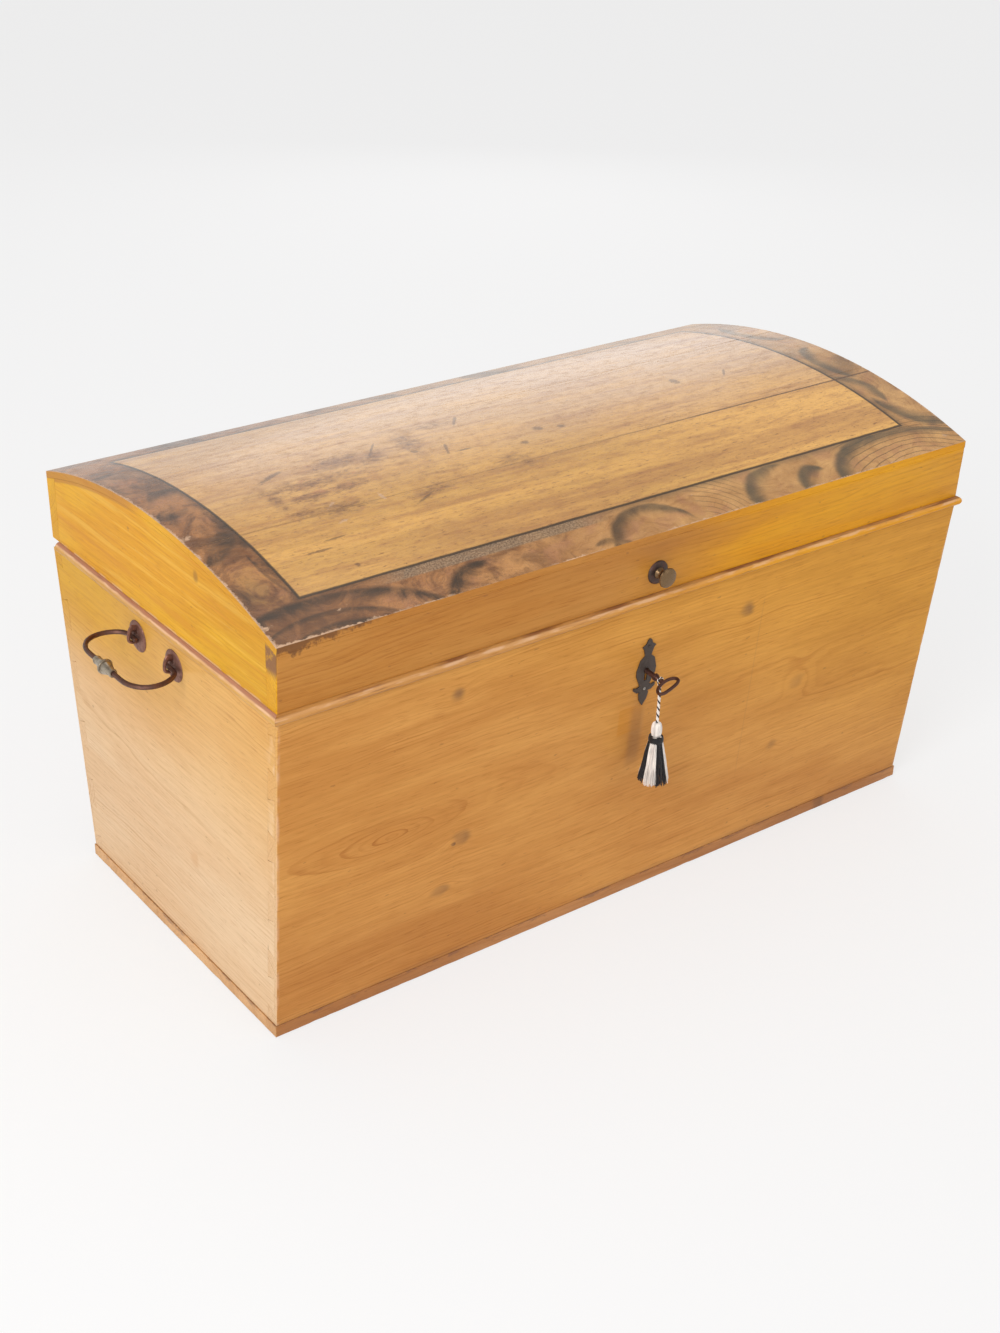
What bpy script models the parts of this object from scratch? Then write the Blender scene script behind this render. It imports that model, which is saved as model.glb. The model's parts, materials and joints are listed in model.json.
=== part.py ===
"""Dome-top pine trunk: a tapered dovetailed carcass, a domed lid on two butt hinges, a chest lock with its
key and tassel, a lid knob and a lifting handle on each end.

Metres, +Z up, +X along the trunk, -Y to the front. The origin is the centre of the bottom face.
"""

import math

import bmesh
import bpy
from mathutils import Matrix, Vector
from mathutils.geometry import interpolate_bezier

# Clearance between pieces that touch, and how far a cutter runs past what it cuts
FIT = 0.0003
OVERCUT = 0.002
# Edges that bend by more than this stay sharp in shading
SHARP = math.radians(35)

# Carcass, outer sizes at the wall tops
LENGTH = 1.100
DEPTH = 0.560
WALL_HEIGHT = 0.460
END_TAPER = 0.007
SIDE_TAPER = 0.038
BOARD = 0.020
BOTTOM_THICKNESS = 0.017
BOTTOM_PROUD = 0.002
BOTTOM_JOINT_Y = 0.060

# Half-blind dovetails
TAILS = 5
TAIL_ROOT = 0.25
TAIL_TIP = 0.31
TAIL_LAP = 0.005

# Lip on the wall tops
LIP_THICKNESS = 0.0134
LIP_PROJECTION = 0.007
LIP_BACK_STOP = 0.018

# Lid
LID_FRONT_HEIGHT = 0.083
LID_BACK_HEIGHT = 0.091
LID_LEAN = 0.003
DOME_RISE = 0.047
PLANK = 0.009
PLANK_NAMES = ("front", "middle", "back")

# Hinges
HINGE_FROM_END = 0.220
HINGE_INSET = 0.006
LEAF_LENGTH = 0.090
LEAF_THICKNESS = 0.0025
KNUCKLE_CLEARANCE = 0.0006
KNUCKLE_SPLIT = 0.015
PIN_RADIUS = 0.0028
PIN_PROUD = 0.001
HINGE_SCREW_X = 0.030
HINGE_SCREW_INSET = 0.0045

# Countersunk screws
SCREW_HEAD = 0.0031
SCREW_SHANK = 0.0016
SCREW_SINK = 0.0018
SCREW_LENGTH = 0.0155

# Lock, from the key's axis on the front face: x along, y inwards, z up the face
LOCK_X = -0.004
KEY_DROP = 0.099
PLATE_HALF_WIDTH = 0.062
PLATE_LOW = -0.030
PLATE_TOP_GAP = 0.0028
PLATE_THICKNESS = 0.002
GUIDE_HEIGHT = 0.006
GUIDE_INSET = 0.001
GUIDES_X = ((-0.033, -0.027), (0.0125, 0.0185))
COVER_HALF_WIDTH = 0.045
COVER_LOW = -0.024
COVER_TOP_GAP = 0.0165
COVER_DEPTH = 0.020
COVER_WALL = 0.0015
COVER_SLOT = 0.007
BOLT_THICKNESS = 0.004
BOLT_END_GAP = 0.007
BOLT_LENGTH = 0.060
BOLT_BAR_HEIGHT = 0.012
BOLT_RISER_WIDTH = 0.012
BOLT_HEAD_LENGTH = 0.0335
BOLT_HEAD_HEIGHT = 0.010
BOLT_HEAD_GAP = 0.0095
TALON_X = -0.00377
TALON_HALF_WIDTH = 0.0105
TALON_DEPTH = 0.005
TALON_CLEARANCE = 0.0015
LOCK_SCREW_X = 0.054
LOCK_SCREW_Z = 0.035

# Staple under the lid, which the bolt shoots through
STAPLE_HALF_WIDTH = 0.022
STAPLE_HEIGHT = 0.034
STAPLE_UP = 0.004
STAPLE_THICKNESS = 0.0025
STAPLE_SCREW_X = 0.016
TONGUE_THICKNESS = 0.003
WINDOW_CLEARANCE = 0.0015
WINDOW_WALL = 0.002

# Escutcheon, half outline from its top point to its bottom point
ESCUTCHEON_THICKNESS = 0.0016
ESCUTCHEON_HALF = (
    (0.0000, 0.0480), (0.0030, 0.0460), (0.0045, 0.0410), (0.0110, 0.0365), (0.0080, 0.0330),
    (0.0050, 0.0230), (0.0090, 0.0195), (0.0115, 0.0175), (0.0130, 0.0120), (0.0160, 0.0020),
    (0.0155, -0.0060), (0.0110, -0.0150), (0.0080, -0.0220), (0.0120, -0.0240), (0.0175, -0.0225),
    (0.0180, -0.0265), (0.0120, -0.0310), (0.0065, -0.0315), (0.0080, -0.0350), (0.0060, -0.0440),
    (0.0000, -0.0530),
)
KEYHOLE_CLEARANCE = 0.0009
NAIL_HEIGHTS = {"top": 0.0365, "bottom": -0.0270}
NAIL_HEAD = 0.0023
NAIL_SHANK = 0.0010
NAIL_LENGTH = 0.012

# Key, measured outwards along its shank from the front face
KEY_TURNED = math.radians(67)
KEY_RADIUS = 0.0034
KEY_END_GAP = 0.0015
KEY_ROOT = 0.0325
KEY_COLLAR_BACK = 0.0110
KEY_COLLAR_LENGTH = 0.0030
KEY_COLLAR_RADIUS = 0.0050
KEY_NECK_RADIUS = 0.0026
KEY_NECK_LENGTH = 0.0070
BOW_WIDTH = 0.036
BOW_DEPTH = 0.024
BOW_RADIUS = 0.0022
BOW_DENT = 0.004
BIT_REACH = 0.014
BIT_THICKNESS = 0.003
BIT_OVERLAP = 0.002

# Tassel, hanging from the key's neck by a loop of one strand
LOOP_BACK = 0.0035
STRAND_RADIUS = 0.0011
STRAND_SPREAD = 0.0014
CORD_RADIUS = 0.0021
CORD_ROUTE = ((0, 0, -0.0110), (0.0006, 0, -0.0280), (0.0004, 0, -0.0440), (0, 0, -0.0610))
CORD_POINTS = 7
TASSEL_HEAD_RADIUS = 0.0074
TASSEL_HEAD_HEIGHT = 0.020
TASSEL_BAND_RADIUS = 0.0070
TASSEL_SKIRT_HEIGHT = 0.066
TASSEL_SKIRT_RADIUS = 0.0210

# Lid knob
KNOB_UP = 0.029
KNOB_RADIUS = 0.0133
KNOB_REACH = 0.0235
KNOB_PLATE_RADIUS = 0.0160
KNOB_PLATE_THICKNESS = 0.0034
KNOB_SPIGOT = 0.0032
KNOB_SPIGOT_END = 0.004

# Lifting handles
HANDLE_Y = 0.005
HANDLE_DROP = 0.032
EYE_HALF_SPACING = 0.046
ROSETTE_RADIUS = 0.0210
ROSETTE_THICKNESS = 0.0022
BAIL_STANDOFF = 0.007
BAIL_RADIUS = 0.0032
BAIL_STRAIGHT = 0.009
BAIL_OVERHANG = 0.032
BAIL_SIDE = 0.030
BAIL_REACH = 0.061
BAIL_KNEE_BEND = 0.014
BAIL_GRIP_BEND = 0.020
BAIL_PAST_COLLAR = 0.0175
EYE_CLEARANCE = 0.0006
EYE_WIRE = 0.0023
CLINCH_BEND = 0.003
CLINCH_LENGTH = 0.010
COLLAR_LENGTH = 0.045
COLLAR_RING = 0.0100
COLLAR_WALL = 0.0010
COLLAR_WAIST = 0.0060

# Values that follow from the sizes above
FRONT_LEAN = math.atan2(SIDE_TAPER, WALL_HEIGHT)
END_LEAN = math.atan2(END_TAPER, WALL_HEIGHT)
LID_FACE_LEAN = math.atan2(LID_LEAN, LID_FRONT_HEIGHT)
WALL_FOOT = BOTTOM_THICKNESS + FIT
LIP_LOW = WALL_HEIGHT + FIT
LID_BOTTOM = LIP_LOW + LIP_THICKNESS + FIT
HINGE_Z = (WALL_HEIGHT + LID_BOTTOM) / 2
HINGE_HALF_GAP = (LID_BOTTOM - WALL_HEIGHT) / 2
HINGE_X = LENGTH / 2 - HINGE_FROM_END
HINGE_Y = DEPTH / 2 - HINGE_INSET
HINGE_SCREW_Y = DEPTH / 2 - BOARD + HINGE_SCREW_INSET
KNUCKLE_RADIUS = HINGE_HALF_GAP - KNUCKLE_CLEARANCE
KEY_Z = WALL_HEIGHT - KEY_DROP
WALL_INNER = BOARD * math.cos(FRONT_LEAN)
PLATE_INNER = WALL_INNER + FIT + PLATE_THICKNESS
PLATE_HIGH = KEY_DROP / math.cos(FRONT_LEAN) - PLATE_TOP_GAP
COVER_HIGH = PLATE_HIGH - COVER_TOP_GAP
COVER_IN = PLATE_INNER + FIT
COVER_BACK = COVER_IN + COVER_DEPTH
BOLT_OUTER = PLATE_INNER + GUIDE_HEIGHT + FIT
BOLT_INNER = BOLT_OUTER + BOLT_THICKNESS
BOLT_LEFT = -COVER_HALF_WIDTH + BOLT_END_GAP
BOLT_HEAD_TOP = COVER_HIGH - BOLT_HEAD_GAP
TALON_TOP = BIT_REACH + TALON_CLEARANCE
BOLT_BAR_LOW = TALON_TOP - TALON_DEPTH
BOLT_BAR_HIGH = BOLT_BAR_LOW + BOLT_BAR_HEIGHT
STAPLE_LOW = LID_BOTTOM + STAPLE_UP
STAPLE_HIGH = STAPLE_LOW + STAPLE_HEIGHT
KNOB_Z = LID_BOTTOM + KNOB_UP
KNOB_SPIGOT_LENGTH = BOARD - KNOB_SPIGOT_END
HANDLE_Z = WALL_HEIGHT - HANDLE_DROP
EYE_RADIUS = BAIL_RADIUS + EYE_WIRE + EYE_CLEARANCE
LOOP_AT = KEY_ROOT - LOOP_BACK

# Turns an outline in x and y so that it stands in the XZ plane, or in the YZ plane
ALONG_Y = Matrix.Rotation(math.pi / 2, 4, "X")
ALONG_X = Matrix(((0, 0, 1, 0), (1, 0, 0, 0), (0, 1, 0, 0), (0, 0, 0, 1)))
# Turns a shape's own axis from +Z to the outward direction of a face, and to +X
OUTWARDS = Matrix.Rotation(math.pi / 2, 4, "X")
INWARDS = Matrix.Rotation(-math.pi / 2, 4, "X")
LENGTHWAYS = Matrix.Rotation(math.pi / 2, 4, "Y")
UPSIDE_DOWN = Matrix.Rotation(math.pi, 4, "X")

for leftover in list(bpy.data.objects):
    bpy.data.objects.remove(leftover, do_unlink=True)
PARTS = bpy.data.collections.new("dome_top_trunk")
CUTTERS = bpy.data.collections.new("cutters")
bpy.context.scene.collection.children.link(PARTS)
bpy.context.scene.collection.children.link(CUTTERS)


def make_material(name, colour, roughness, metallic=0.0):
    material = bpy.data.materials.new(name)
    material.use_nodes = True
    shader = material.node_tree.nodes["Principled BSDF"]
    shader.inputs["Base Color"].default_value = (*colour, 1)
    shader.inputs["Roughness"].default_value = roughness
    shader.inputs["Metallic"].default_value = metallic
    material.diffuse_color = (*colour, 1)
    return material


FRONT_PINE = make_material("front_pine", (0.45, 0.19, 0.045), 0.40)
END_PINE = make_material("end_pine", (0.58, 0.30, 0.10), 0.45)
LID_PINE = make_material("lid_pine", (0.52, 0.25, 0.06), 0.40)
DOME_PINE = make_material("dome_pine", (0.50, 0.27, 0.07), 0.35)
LIP_PINE = make_material("lip_pine", (0.56, 0.28, 0.11), 0.45)
IRON = make_material("dark_iron", (0.075, 0.050, 0.042), 0.55, 0.8)
LOCK_IRON = make_material("lock_iron", (0.11, 0.085, 0.065), 0.50, 0.8)
KEY_IRON = make_material("key_iron", (0.14, 0.060, 0.040), 0.50, 0.8)
STEEL = make_material("steel", (0.45, 0.43, 0.40), 0.40, 1.0)
BRASS = make_material("old_brass", (0.34, 0.21, 0.08), 0.40, 1.0)
PEWTER = make_material("pewter_brass", (0.30, 0.27, 0.21), 0.40, 1.0)
WHITE_SILK = make_material("white_silk", (0.80, 0.79, 0.76), 0.75)
BLACK_SILK = make_material("black_silk", (0.025, 0.025, 0.028), 0.75)


def half_length(z):
    """Half the outer length of the carcass at height z."""
    return LENGTH / 2 - END_TAPER * (1 - z / WALL_HEIGHT)


def half_depth(z):
    """Half the outer depth of the carcass at height z."""
    return DEPTH / 2 - SIDE_TAPER * (1 - z / WALL_HEIGHT)


def finished_mesh(name, bm):
    bmesh.ops.recalc_face_normals(bm, faces=bm.faces)
    mesh = bpy.data.meshes.new(name)
    bm.to_mesh(mesh)
    bm.free()
    return mesh


def block_mesh(name, corner):
    """A six-sided block. corner(sx, sy, sz) places each corner of a cube, each sign being -1 or 1."""
    bm = bmesh.new()
    bmesh.ops.create_cube(bm, size=2)
    for vert in bm.verts:
        vert.co = corner(*(round(c) for c in vert.co))
    return finished_mesh(name, bm)


def box_mesh(name, x, y, z):
    """An upright box, each side given as (low, high)."""
    return block_mesh(name, lambda sx, sy, sz: (x[sx > 0], y[sy > 0], z[sz > 0]))


def cylinder_mesh(name, radius, start, stop, turn, segments=20):
    """A cylinder between two heights on its own Z axis, then turned."""
    bm = bmesh.new()
    bmesh.ops.create_cone(
        bm, cap_ends=True, segments=segments, radius1=radius, radius2=radius, depth=stop - start
    )
    bm.transform(turn @ Matrix.Translation((0, 0, (start + stop) / 2)))
    return finished_mesh(name, bm)


def curve_mesh(name, curve):
    """The closed mesh of a curve, with its caps welded on."""
    guide = bpy.data.objects.new(name, curve)
    bpy.context.scene.collection.objects.link(guide)
    graph = bpy.context.evaluated_depsgraph_get()
    bm = bmesh.new()
    bm.from_mesh(guide.evaluated_get(graph).to_mesh())
    bmesh.ops.remove_doubles(bm, verts=bm.verts, dist=0.00001)
    bpy.data.objects.remove(guide)
    bpy.data.curves.remove(curve)
    return finished_mesh(name, bm)


def add_spline(curve, points, closed):
    spline = curve.splines.new("POLY")
    spline.points.add(len(points) - 1)
    for knot, point in zip(spline.points, points):
        knot.co = (*point, 1)
    spline.use_cyclic_u = closed


def outline_mesh(name, outlines, thickness, turn, middle=0.0):
    """Flat outlines of (u, v) points with straight sides. The second one and later are holes in the first.
    The thickness runs along the outline's normal, centred at middle.
    """
    curve = bpy.data.curves.new(name, "CURVE")
    curve.dimensions = "2D"
    curve.fill_mode = "BOTH"
    curve.extrude = thickness / 2
    for outline in outlines:
        add_spline(curve, [(u, v, 0) for u, v in outline], True)
    mesh = curve_mesh(name, curve)
    mesh.transform(turn @ Matrix.Translation((0, 0, middle)))
    return mesh


def rod_mesh(name, points, radius, closed=False):
    """A round rod along points."""
    curve = bpy.data.curves.new(name, "CURVE")
    curve.dimensions = "3D"
    curve.bevel_depth = radius
    curve.bevel_resolution = 2
    curve.use_fill_caps = True
    add_spline(curve, points, closed)
    return curve_mesh(name, curve)


def profile_mesh(name, profile, ring=False):
    """The profile of a turned shape, (radius, height) points from top to bottom along its outer side."""
    bm = bmesh.new()
    verts = [bm.verts.new((radius, 0, height)) for radius, height in profile]
    ends = verts[1:] + verts[:1] if ring else verts[1:]
    for first, second in zip(verts, ends):
        bm.edges.new((first, second))
    mesh = bpy.data.meshes.new(name)
    bm.to_mesh(mesh)
    bm.free()
    return mesh


def spin(piece, steps):
    """Turns a profile about its own Z axis."""
    screw = piece.modifiers.new("Spin", "SCREW")
    screw.steps = steps
    screw.render_steps = steps
    screw.use_merge_vertices = True
    screw.merge_threshold = 0.00001


def add_frame(name, matrix, parent=None):
    """An empty that holds the pieces of one face or one joint."""
    empty = bpy.data.objects.new(name, None)
    empty.empty_display_size = 0.02
    PARTS.objects.link(empty)
    empty.parent = parent
    empty.matrix_basis = matrix
    return empty


def add_piece(name, mesh, material, parent=None, matrix=Matrix()):
    piece = bpy.data.objects.new(name, mesh)
    mesh.materials.append(material)
    mesh.shade_smooth()
    mesh.set_sharp_from_angle(angle=SHARP)
    PARTS.objects.link(piece)
    piece.parent = parent
    piece.matrix_basis = matrix
    return piece


def add_cutter(mesh, parent=None, matrix=Matrix()):
    cutter = bpy.data.objects.new(mesh.name + "_cutter", mesh)
    CUTTERS.objects.link(cutter)
    cutter.parent = parent
    cutter.matrix_basis = matrix
    cutter.hide_render = True
    cutter.display_type = "WIRE"
    return cutter


def combine(piece, tools, operation):
    """A Boolean of piece with several helpers at once."""
    group = bpy.data.collections.new(f"{piece.name}_{operation.lower()}")
    CUTTERS.children.link(group)
    for tool in tools:
        group.objects.link(tool)
    modifier = piece.modifiers.new(operation.title(), "BOOLEAN")
    modifier.operation = operation
    modifier.solver = "EXACT"
    modifier.operand_type = "COLLECTION"
    modifier.collection = group


cuts = {}


def cut(cutter, *pieces):
    """Notes that cutter goes through each piece. make_cuts does it once all cutters are known."""
    for piece in pieces:
        cuts.setdefault(piece, []).append(cutter)


def make_cuts():
    for piece, cutters in cuts.items():
        combine(piece, cutters, "DIFFERENCE")


def add_screw(name, parent, matrix, *pieces):
    """A countersunk screw with its head's flat at the frame's origin, pointing down, and its hole in pieces."""
    tip = -SCREW_LENGTH
    profile = [
        (0, 0),
        (SCREW_HEAD, 0),
        (SCREW_SHANK, -SCREW_SINK),
        (SCREW_SHANK, tip + 2 * SCREW_SHANK),
        (0, tip),
    ]
    hole = [
        (0, OVERCUT),
        (SCREW_HEAD + FIT, OVERCUT),
        (SCREW_HEAD + FIT, 0),
        (SCREW_SHANK + FIT, -SCREW_SINK),
        (SCREW_SHANK + FIT, tip - FIT),
        (0, tip - FIT),
    ]
    screw = add_piece(name, profile_mesh(name, profile), STEEL, parent, matrix)
    spin(screw, 12)
    cutter = add_cutter(profile_mesh(name, hole), parent, matrix)
    spin(cutter, 12)
    cut(cutter, *pieces)


# Carcass
def add_long_board(name, side):
    """The front (side -1) or back (side 1) board, leaning out towards the top."""

    def corner(sx, sy, sz):
        z = WALL_HEIGHT if sz > 0 else WALL_FOOT
        face = half_depth(z) if sy == side else half_depth(z) - BOARD
        return sx * half_length(z), side * face, z

    return add_piece(name, block_mesh(name, corner), FRONT_PINE)


def tail_heights(index):
    """The middle height of a tail, with half its height at the root and at the tip."""
    pitch = (WALL_HEIGHT - WALL_FOOT) / TAILS
    return WALL_FOOT + (index + 0.5) * pitch, TAIL_ROOT * pitch, TAIL_TIP * pitch


def tail_edge(side):
    """Points up the dovetailed edge of an end board, at the front (side -1) or back (side 1)."""
    points = []
    for index in range(TAILS):
        middle, root, tip = tail_heights(index)
        for z, inset in (
            (middle - root, BOARD),
            (middle - tip, TAIL_LAP),
            (middle + tip, TAIL_LAP),
            (middle + root, BOARD),
        ):
            points.append((side * (half_depth(z) - inset - FIT), z))
    return points


def add_end_board(name, end):
    """The left (end -1) or right (end 1) board, with tails on its front and back edges."""
    shoulder_low = half_depth(WALL_FOOT) - BOARD - FIT
    shoulder_high = half_depth(WALL_HEIGHT) - BOARD - FIT
    outline = [(-shoulder_low, WALL_FOOT), *tail_edge(-1), (-shoulder_high, WALL_HEIGHT)]
    outline += [(shoulder_high, WALL_HEIGHT), *reversed(tail_edge(1)), (shoulder_low, WALL_FOOT)]
    mesh = outline_mesh(name, [outline], BOARD, ALONG_X)
    lean = Matrix.Translation((end * (half_length(0) - BOARD / 2), 0, 0))
    lean[0][2] = end * END_TAPER / WALL_HEIGHT
    mesh.transform(lean)
    return add_piece(name, mesh, END_PINE)


def cut_sockets(board, side):
    """Cuts the sockets for both end boards' tails in the front (side -1) or back (side 1) board."""
    for end in (-1, 1):
        for index in range(TAILS):
            middle, root, tip = tail_heights(index)

            def corner(sx, sy, sz):
                outer = sy == side
                z = middle + sz * ((tip if outer else root) + FIT)
                y = half_depth(z) - (TAIL_LAP if outer else BOARD + OVERCUT)
                x = half_length(z) + OVERCUT if sx == end else half_length(z) - BOARD - FIT
                return end * x, side * y, z

            cut(add_cutter(block_mesh("socket", corner)), board)


front_board = add_long_board("front_board", -1)
back_board = add_long_board("back_board", 1)
left_end_board = add_end_board("left_end_board", -1)
right_end_board = add_end_board("right_end_board", 1)
cut_sockets(front_board, -1)
cut_sockets(back_board, 1)

bottom_x = half_length(0) + BOTTOM_PROUD
bottom_y = half_depth(0) + BOTTOM_PROUD
for name, span in (
    ("bottom_board_front", (-bottom_y, BOTTOM_JOINT_Y - FIT)),
    ("bottom_board_back", (BOTTOM_JOINT_Y, bottom_y)),
):
    add_piece(name, box_mesh(name, (-bottom_x, bottom_x), span, (0, BOTTOM_THICKNESS)), FRONT_PINE)


# Lip strips
def lip_section(wall):
    """Cross-section of a lip over a wall whose outer face is at wall, which is negative on the near side."""
    nose = LIP_THICKNESS / 2
    side = math.copysign(1, wall)
    angles = [math.radians(20 * step - 80) for step in range(9)]
    flat = LIP_PROJECTION - nose
    section = [(wall + side * (flat + nose * math.cos(a)), LIP_LOW + nose + nose * math.sin(a)) for a in angles]
    inner = wall - side * BOARD
    edge = wall + side * flat
    top = LIP_LOW + LIP_THICKNESS
    return [(inner, LIP_LOW), (edge, LIP_LOW), *section, (edge, top), (inner, top)]


front_lip = outline_mesh("front_lip", [lip_section(-DEPTH / 2)], LENGTH + 2 * LIP_PROJECTION, ALONG_X)
add_piece("front_lip", front_lip, LIP_PINE)
lip_front = -DEPTH / 2 + BOARD + FIT
lip_back = DEPTH / 2 - LIP_BACK_STOP
for name, wall in (("left_lip", -LENGTH / 2), ("right_lip", LENGTH / 2)):
    middle = -(lip_front + lip_back) / 2
    add_piece(name, outline_mesh(name, [lip_section(wall)], lip_back - lip_front, ALONG_Y, middle), LIP_PINE)


# Lid
dome_front = Vector((-DEPTH / 2 - LID_LEAN, LID_BOTTOM + LID_FRONT_HEIGHT))
dome_back = Vector((DEPTH / 2 + LID_LEAN, LID_BOTTOM + LID_BACK_HEIGHT))
dome_chord = dome_back - dome_front
dome_radius = (dome_chord.length_squared / 4 + DOME_RISE**2) / (2 * DOME_RISE)
dome_up = Vector((-dome_chord.y, dome_chord.x)).normalized()
dome_centre = (dome_front + dome_back) / 2 - (dome_radius - DOME_RISE) * dome_up


def dome_height(y, depth):
    """The height at y of the dome's circle, sunk by depth."""
    return dome_centre.y + math.sqrt((dome_radius - depth) ** 2 - (y - dome_centre.x) ** 2)


def dome_arc(start, stop, depth, steps):
    """Points of the dome's circle between two y values, sunk by depth."""
    spread = [start + (stop - start) * step / steps for step in range(steps + 1)]
    return [(y, dome_height(y, depth)) for y in spread]


lid_axis = add_frame("lid_axis", Matrix.Translation((0, HINGE_Y, HINGE_Z)))
TO_LID = Matrix.Translation((0, -HINGE_Y, -HINGE_Z))


def add_lid_rail(name, side):
    """The front (side -1) or back (side 1) rail, as long as the trunk, its outer face leaning out."""
    inner = side * (DEPTH / 2 - BOARD)
    low = side * DEPTH / 2
    high = side * (DEPTH / 2 + LID_LEAN)
    under = dome_arc(high, inner, PLANK + FIT, 4)
    mesh = outline_mesh(name, [[(inner, LID_BOTTOM), (low, LID_BOTTOM), *under]], LENGTH, ALONG_X)
    return add_piece(name, mesh, LID_PINE, lid_axis, TO_LID)


def add_lid_end(name, end):
    """The left (end -1) or right (end 1) board between the rails."""
    edge = DEPTH / 2 - BOARD - FIT
    outline = [(edge, LID_BOTTOM), (-edge, LID_BOTTOM), *dome_arc(-edge, edge, PLANK + FIT, 30)]
    mesh = outline_mesh(name, [outline], BOARD, ALONG_X, end * (LENGTH - BOARD) / 2)
    return add_piece(name, mesh, LID_PINE, lid_axis, TO_LID)


lid_front_rail = add_lid_rail("lid_front_rail", -1)
lid_back_rail = add_lid_rail("lid_back_rail", 1)
add_lid_end("lid_left_end", -1)
add_lid_end("lid_right_end", 1)
plank_width = dome_chord.x / len(PLANK_NAMES)
for index, which in enumerate(PLANK_NAMES):
    name = "dome_plank_" + which
    start = dome_front.x + index * plank_width + (FIT if index else 0)
    stop = dome_front.x + (index + 1) * plank_width
    outline = dome_arc(start, stop, 0, 14) + dome_arc(stop, start, PLANK, 14)
    add_piece(name, outline_mesh(name, [outline], LENGTH, ALONG_X), DOME_PINE, lid_axis, TO_LID)


# Hinges
def add_leaf(name, x, side, parent, to_parent):
    """A base leaf (side -1) with the two outer knuckles, or a lid leaf (side 1) with the middle one."""
    half = LEAF_LENGTH / 2
    near = DEPTH / 2 - BOARD + FIT
    relief = HINGE_Y - KNUCKLE_RADIUS - FIT
    ends_y, middle_y = (relief, HINGE_Y) if side > 0 else (HINGE_Y, relief)
    split = KNUCKLE_SPLIT if side > 0 else KNUCKLE_SPLIT + FIT
    outline = [
        (x - half, near),
        (x + half, near),
        (x + half, ends_y),
        (x + split, ends_y),
        (x + split, middle_y),
        (x - split, middle_y),
        (x - split, ends_y),
        (x - half, ends_y),
    ]
    middle = HINGE_Z + side * (HINGE_HALF_GAP - FIT - LEAF_THICKNESS / 2)
    leaf = add_piece(
        name, outline_mesh(name, [outline], LEAF_THICKNESS, Matrix(), middle), STEEL, parent, to_parent
    )
    on_axis = Matrix.Translation((x, HINGE_Y, HINGE_Z)) @ LENGTHWAYS
    spans = [(-split, split)] if side > 0 else [(-half, -split), (split, half)]
    knuckles = [
        add_cutter(cylinder_mesh(name, KNUCKLE_RADIUS, *span, on_axis), parent, to_parent) for span in spans
    ]
    combine(leaf, knuckles, "UNION")
    bore = cylinder_mesh(name + "_bore", PIN_RADIUS + FIT, -half - OVERCUT, half + OVERCUT, on_axis)
    cut(add_cutter(bore, parent, to_parent), leaf)
    return leaf


for which, x in (("left", -HINGE_X), ("right", HINGE_X)):
    base_leaf = add_leaf(f"{which}_hinge_base_leaf", x, -1, None, Matrix())
    lid_leaf = add_leaf(f"{which}_hinge_lid_leaf", x, 1, lid_axis, TO_LID)
    pin_end = LEAF_LENGTH / 2 + PIN_PROUD
    pin_profile = [(0, pin_end), (PIN_RADIUS, pin_end), (PIN_RADIUS, -pin_end), (0, -pin_end)]
    pin_name = f"{which}_hinge_pin"
    pin_place = Matrix.Translation((x, HINGE_Y, HINGE_Z)) @ LENGTHWAYS
    spin(add_piece(pin_name, profile_mesh(pin_name, pin_profile), STEEL, None, pin_place), 20)
    leaf_top = WALL_HEIGHT + FIT + LEAF_THICKNESS
    leaf_under = LID_BOTTOM - FIT - LEAF_THICKNESS
    for number, offset in enumerate((-HINGE_SCREW_X, HINGE_SCREW_X), 1):
        in_base = Matrix.Translation((x + offset, HINGE_SCREW_Y, leaf_top))
        add_screw(f"{which}_hinge_base_screw_{number}", None, in_base, base_leaf, back_board)
        in_lid = TO_LID @ Matrix.Translation((x + offset, HINGE_SCREW_Y, leaf_under)) @ UPSIDE_DOWN
        add_screw(f"{which}_hinge_lid_screw_{number}", lid_axis, in_lid, lid_leaf, lid_back_rail)


# Lock, in a frame on the front face at the key's axis
lock_frame = add_frame(
    "lock_frame",
    Matrix.Translation((LOCK_X, -half_depth(KEY_Z), KEY_Z)) @ Matrix.Rotation(FRONT_LEAN, 4, "X"),
)


def keyhole_outline():
    """The keyhole: a round hole with a slot below it, wide enough for the shank and the bit."""
    radius = KEY_RADIUS + KEYHOLE_CLEARANCE
    slot = BIT_THICKNESS / 2 + KEYHOLE_CLEARANCE
    low = -BIT_REACH - KEYHOLE_CLEARANCE
    start = math.asin(slot / radius)
    angles = [start + (2 * math.pi - 2 * start) * step / 16 for step in range(17)]
    rim = [(radius * math.sin(a), -radius * math.cos(a)) for a in angles]
    return [*rim, (-slot, low), (slot, low)]


lock_plate = add_piece(
    "lock_plate",
    box_mesh(
        "lock_plate",
        (-PLATE_HALF_WIDTH, PLATE_HALF_WIDTH),
        (WALL_INNER + FIT, PLATE_INNER),
        (PLATE_LOW, PLATE_HIGH),
    ),
    LOCK_IRON,
    lock_frame,
)
guide_y = (PLATE_INNER - PLATE_THICKNESS / 2, PLATE_INNER + GUIDE_HEIGHT)
guide_z = (BOLT_BAR_LOW + GUIDE_INSET, BOLT_BAR_HIGH - GUIDE_INSET)
guides = [add_cutter(box_mesh("guide", span, guide_y, guide_z), lock_frame) for span in GUIDES_X]
combine(lock_plate, guides, "UNION")

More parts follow.
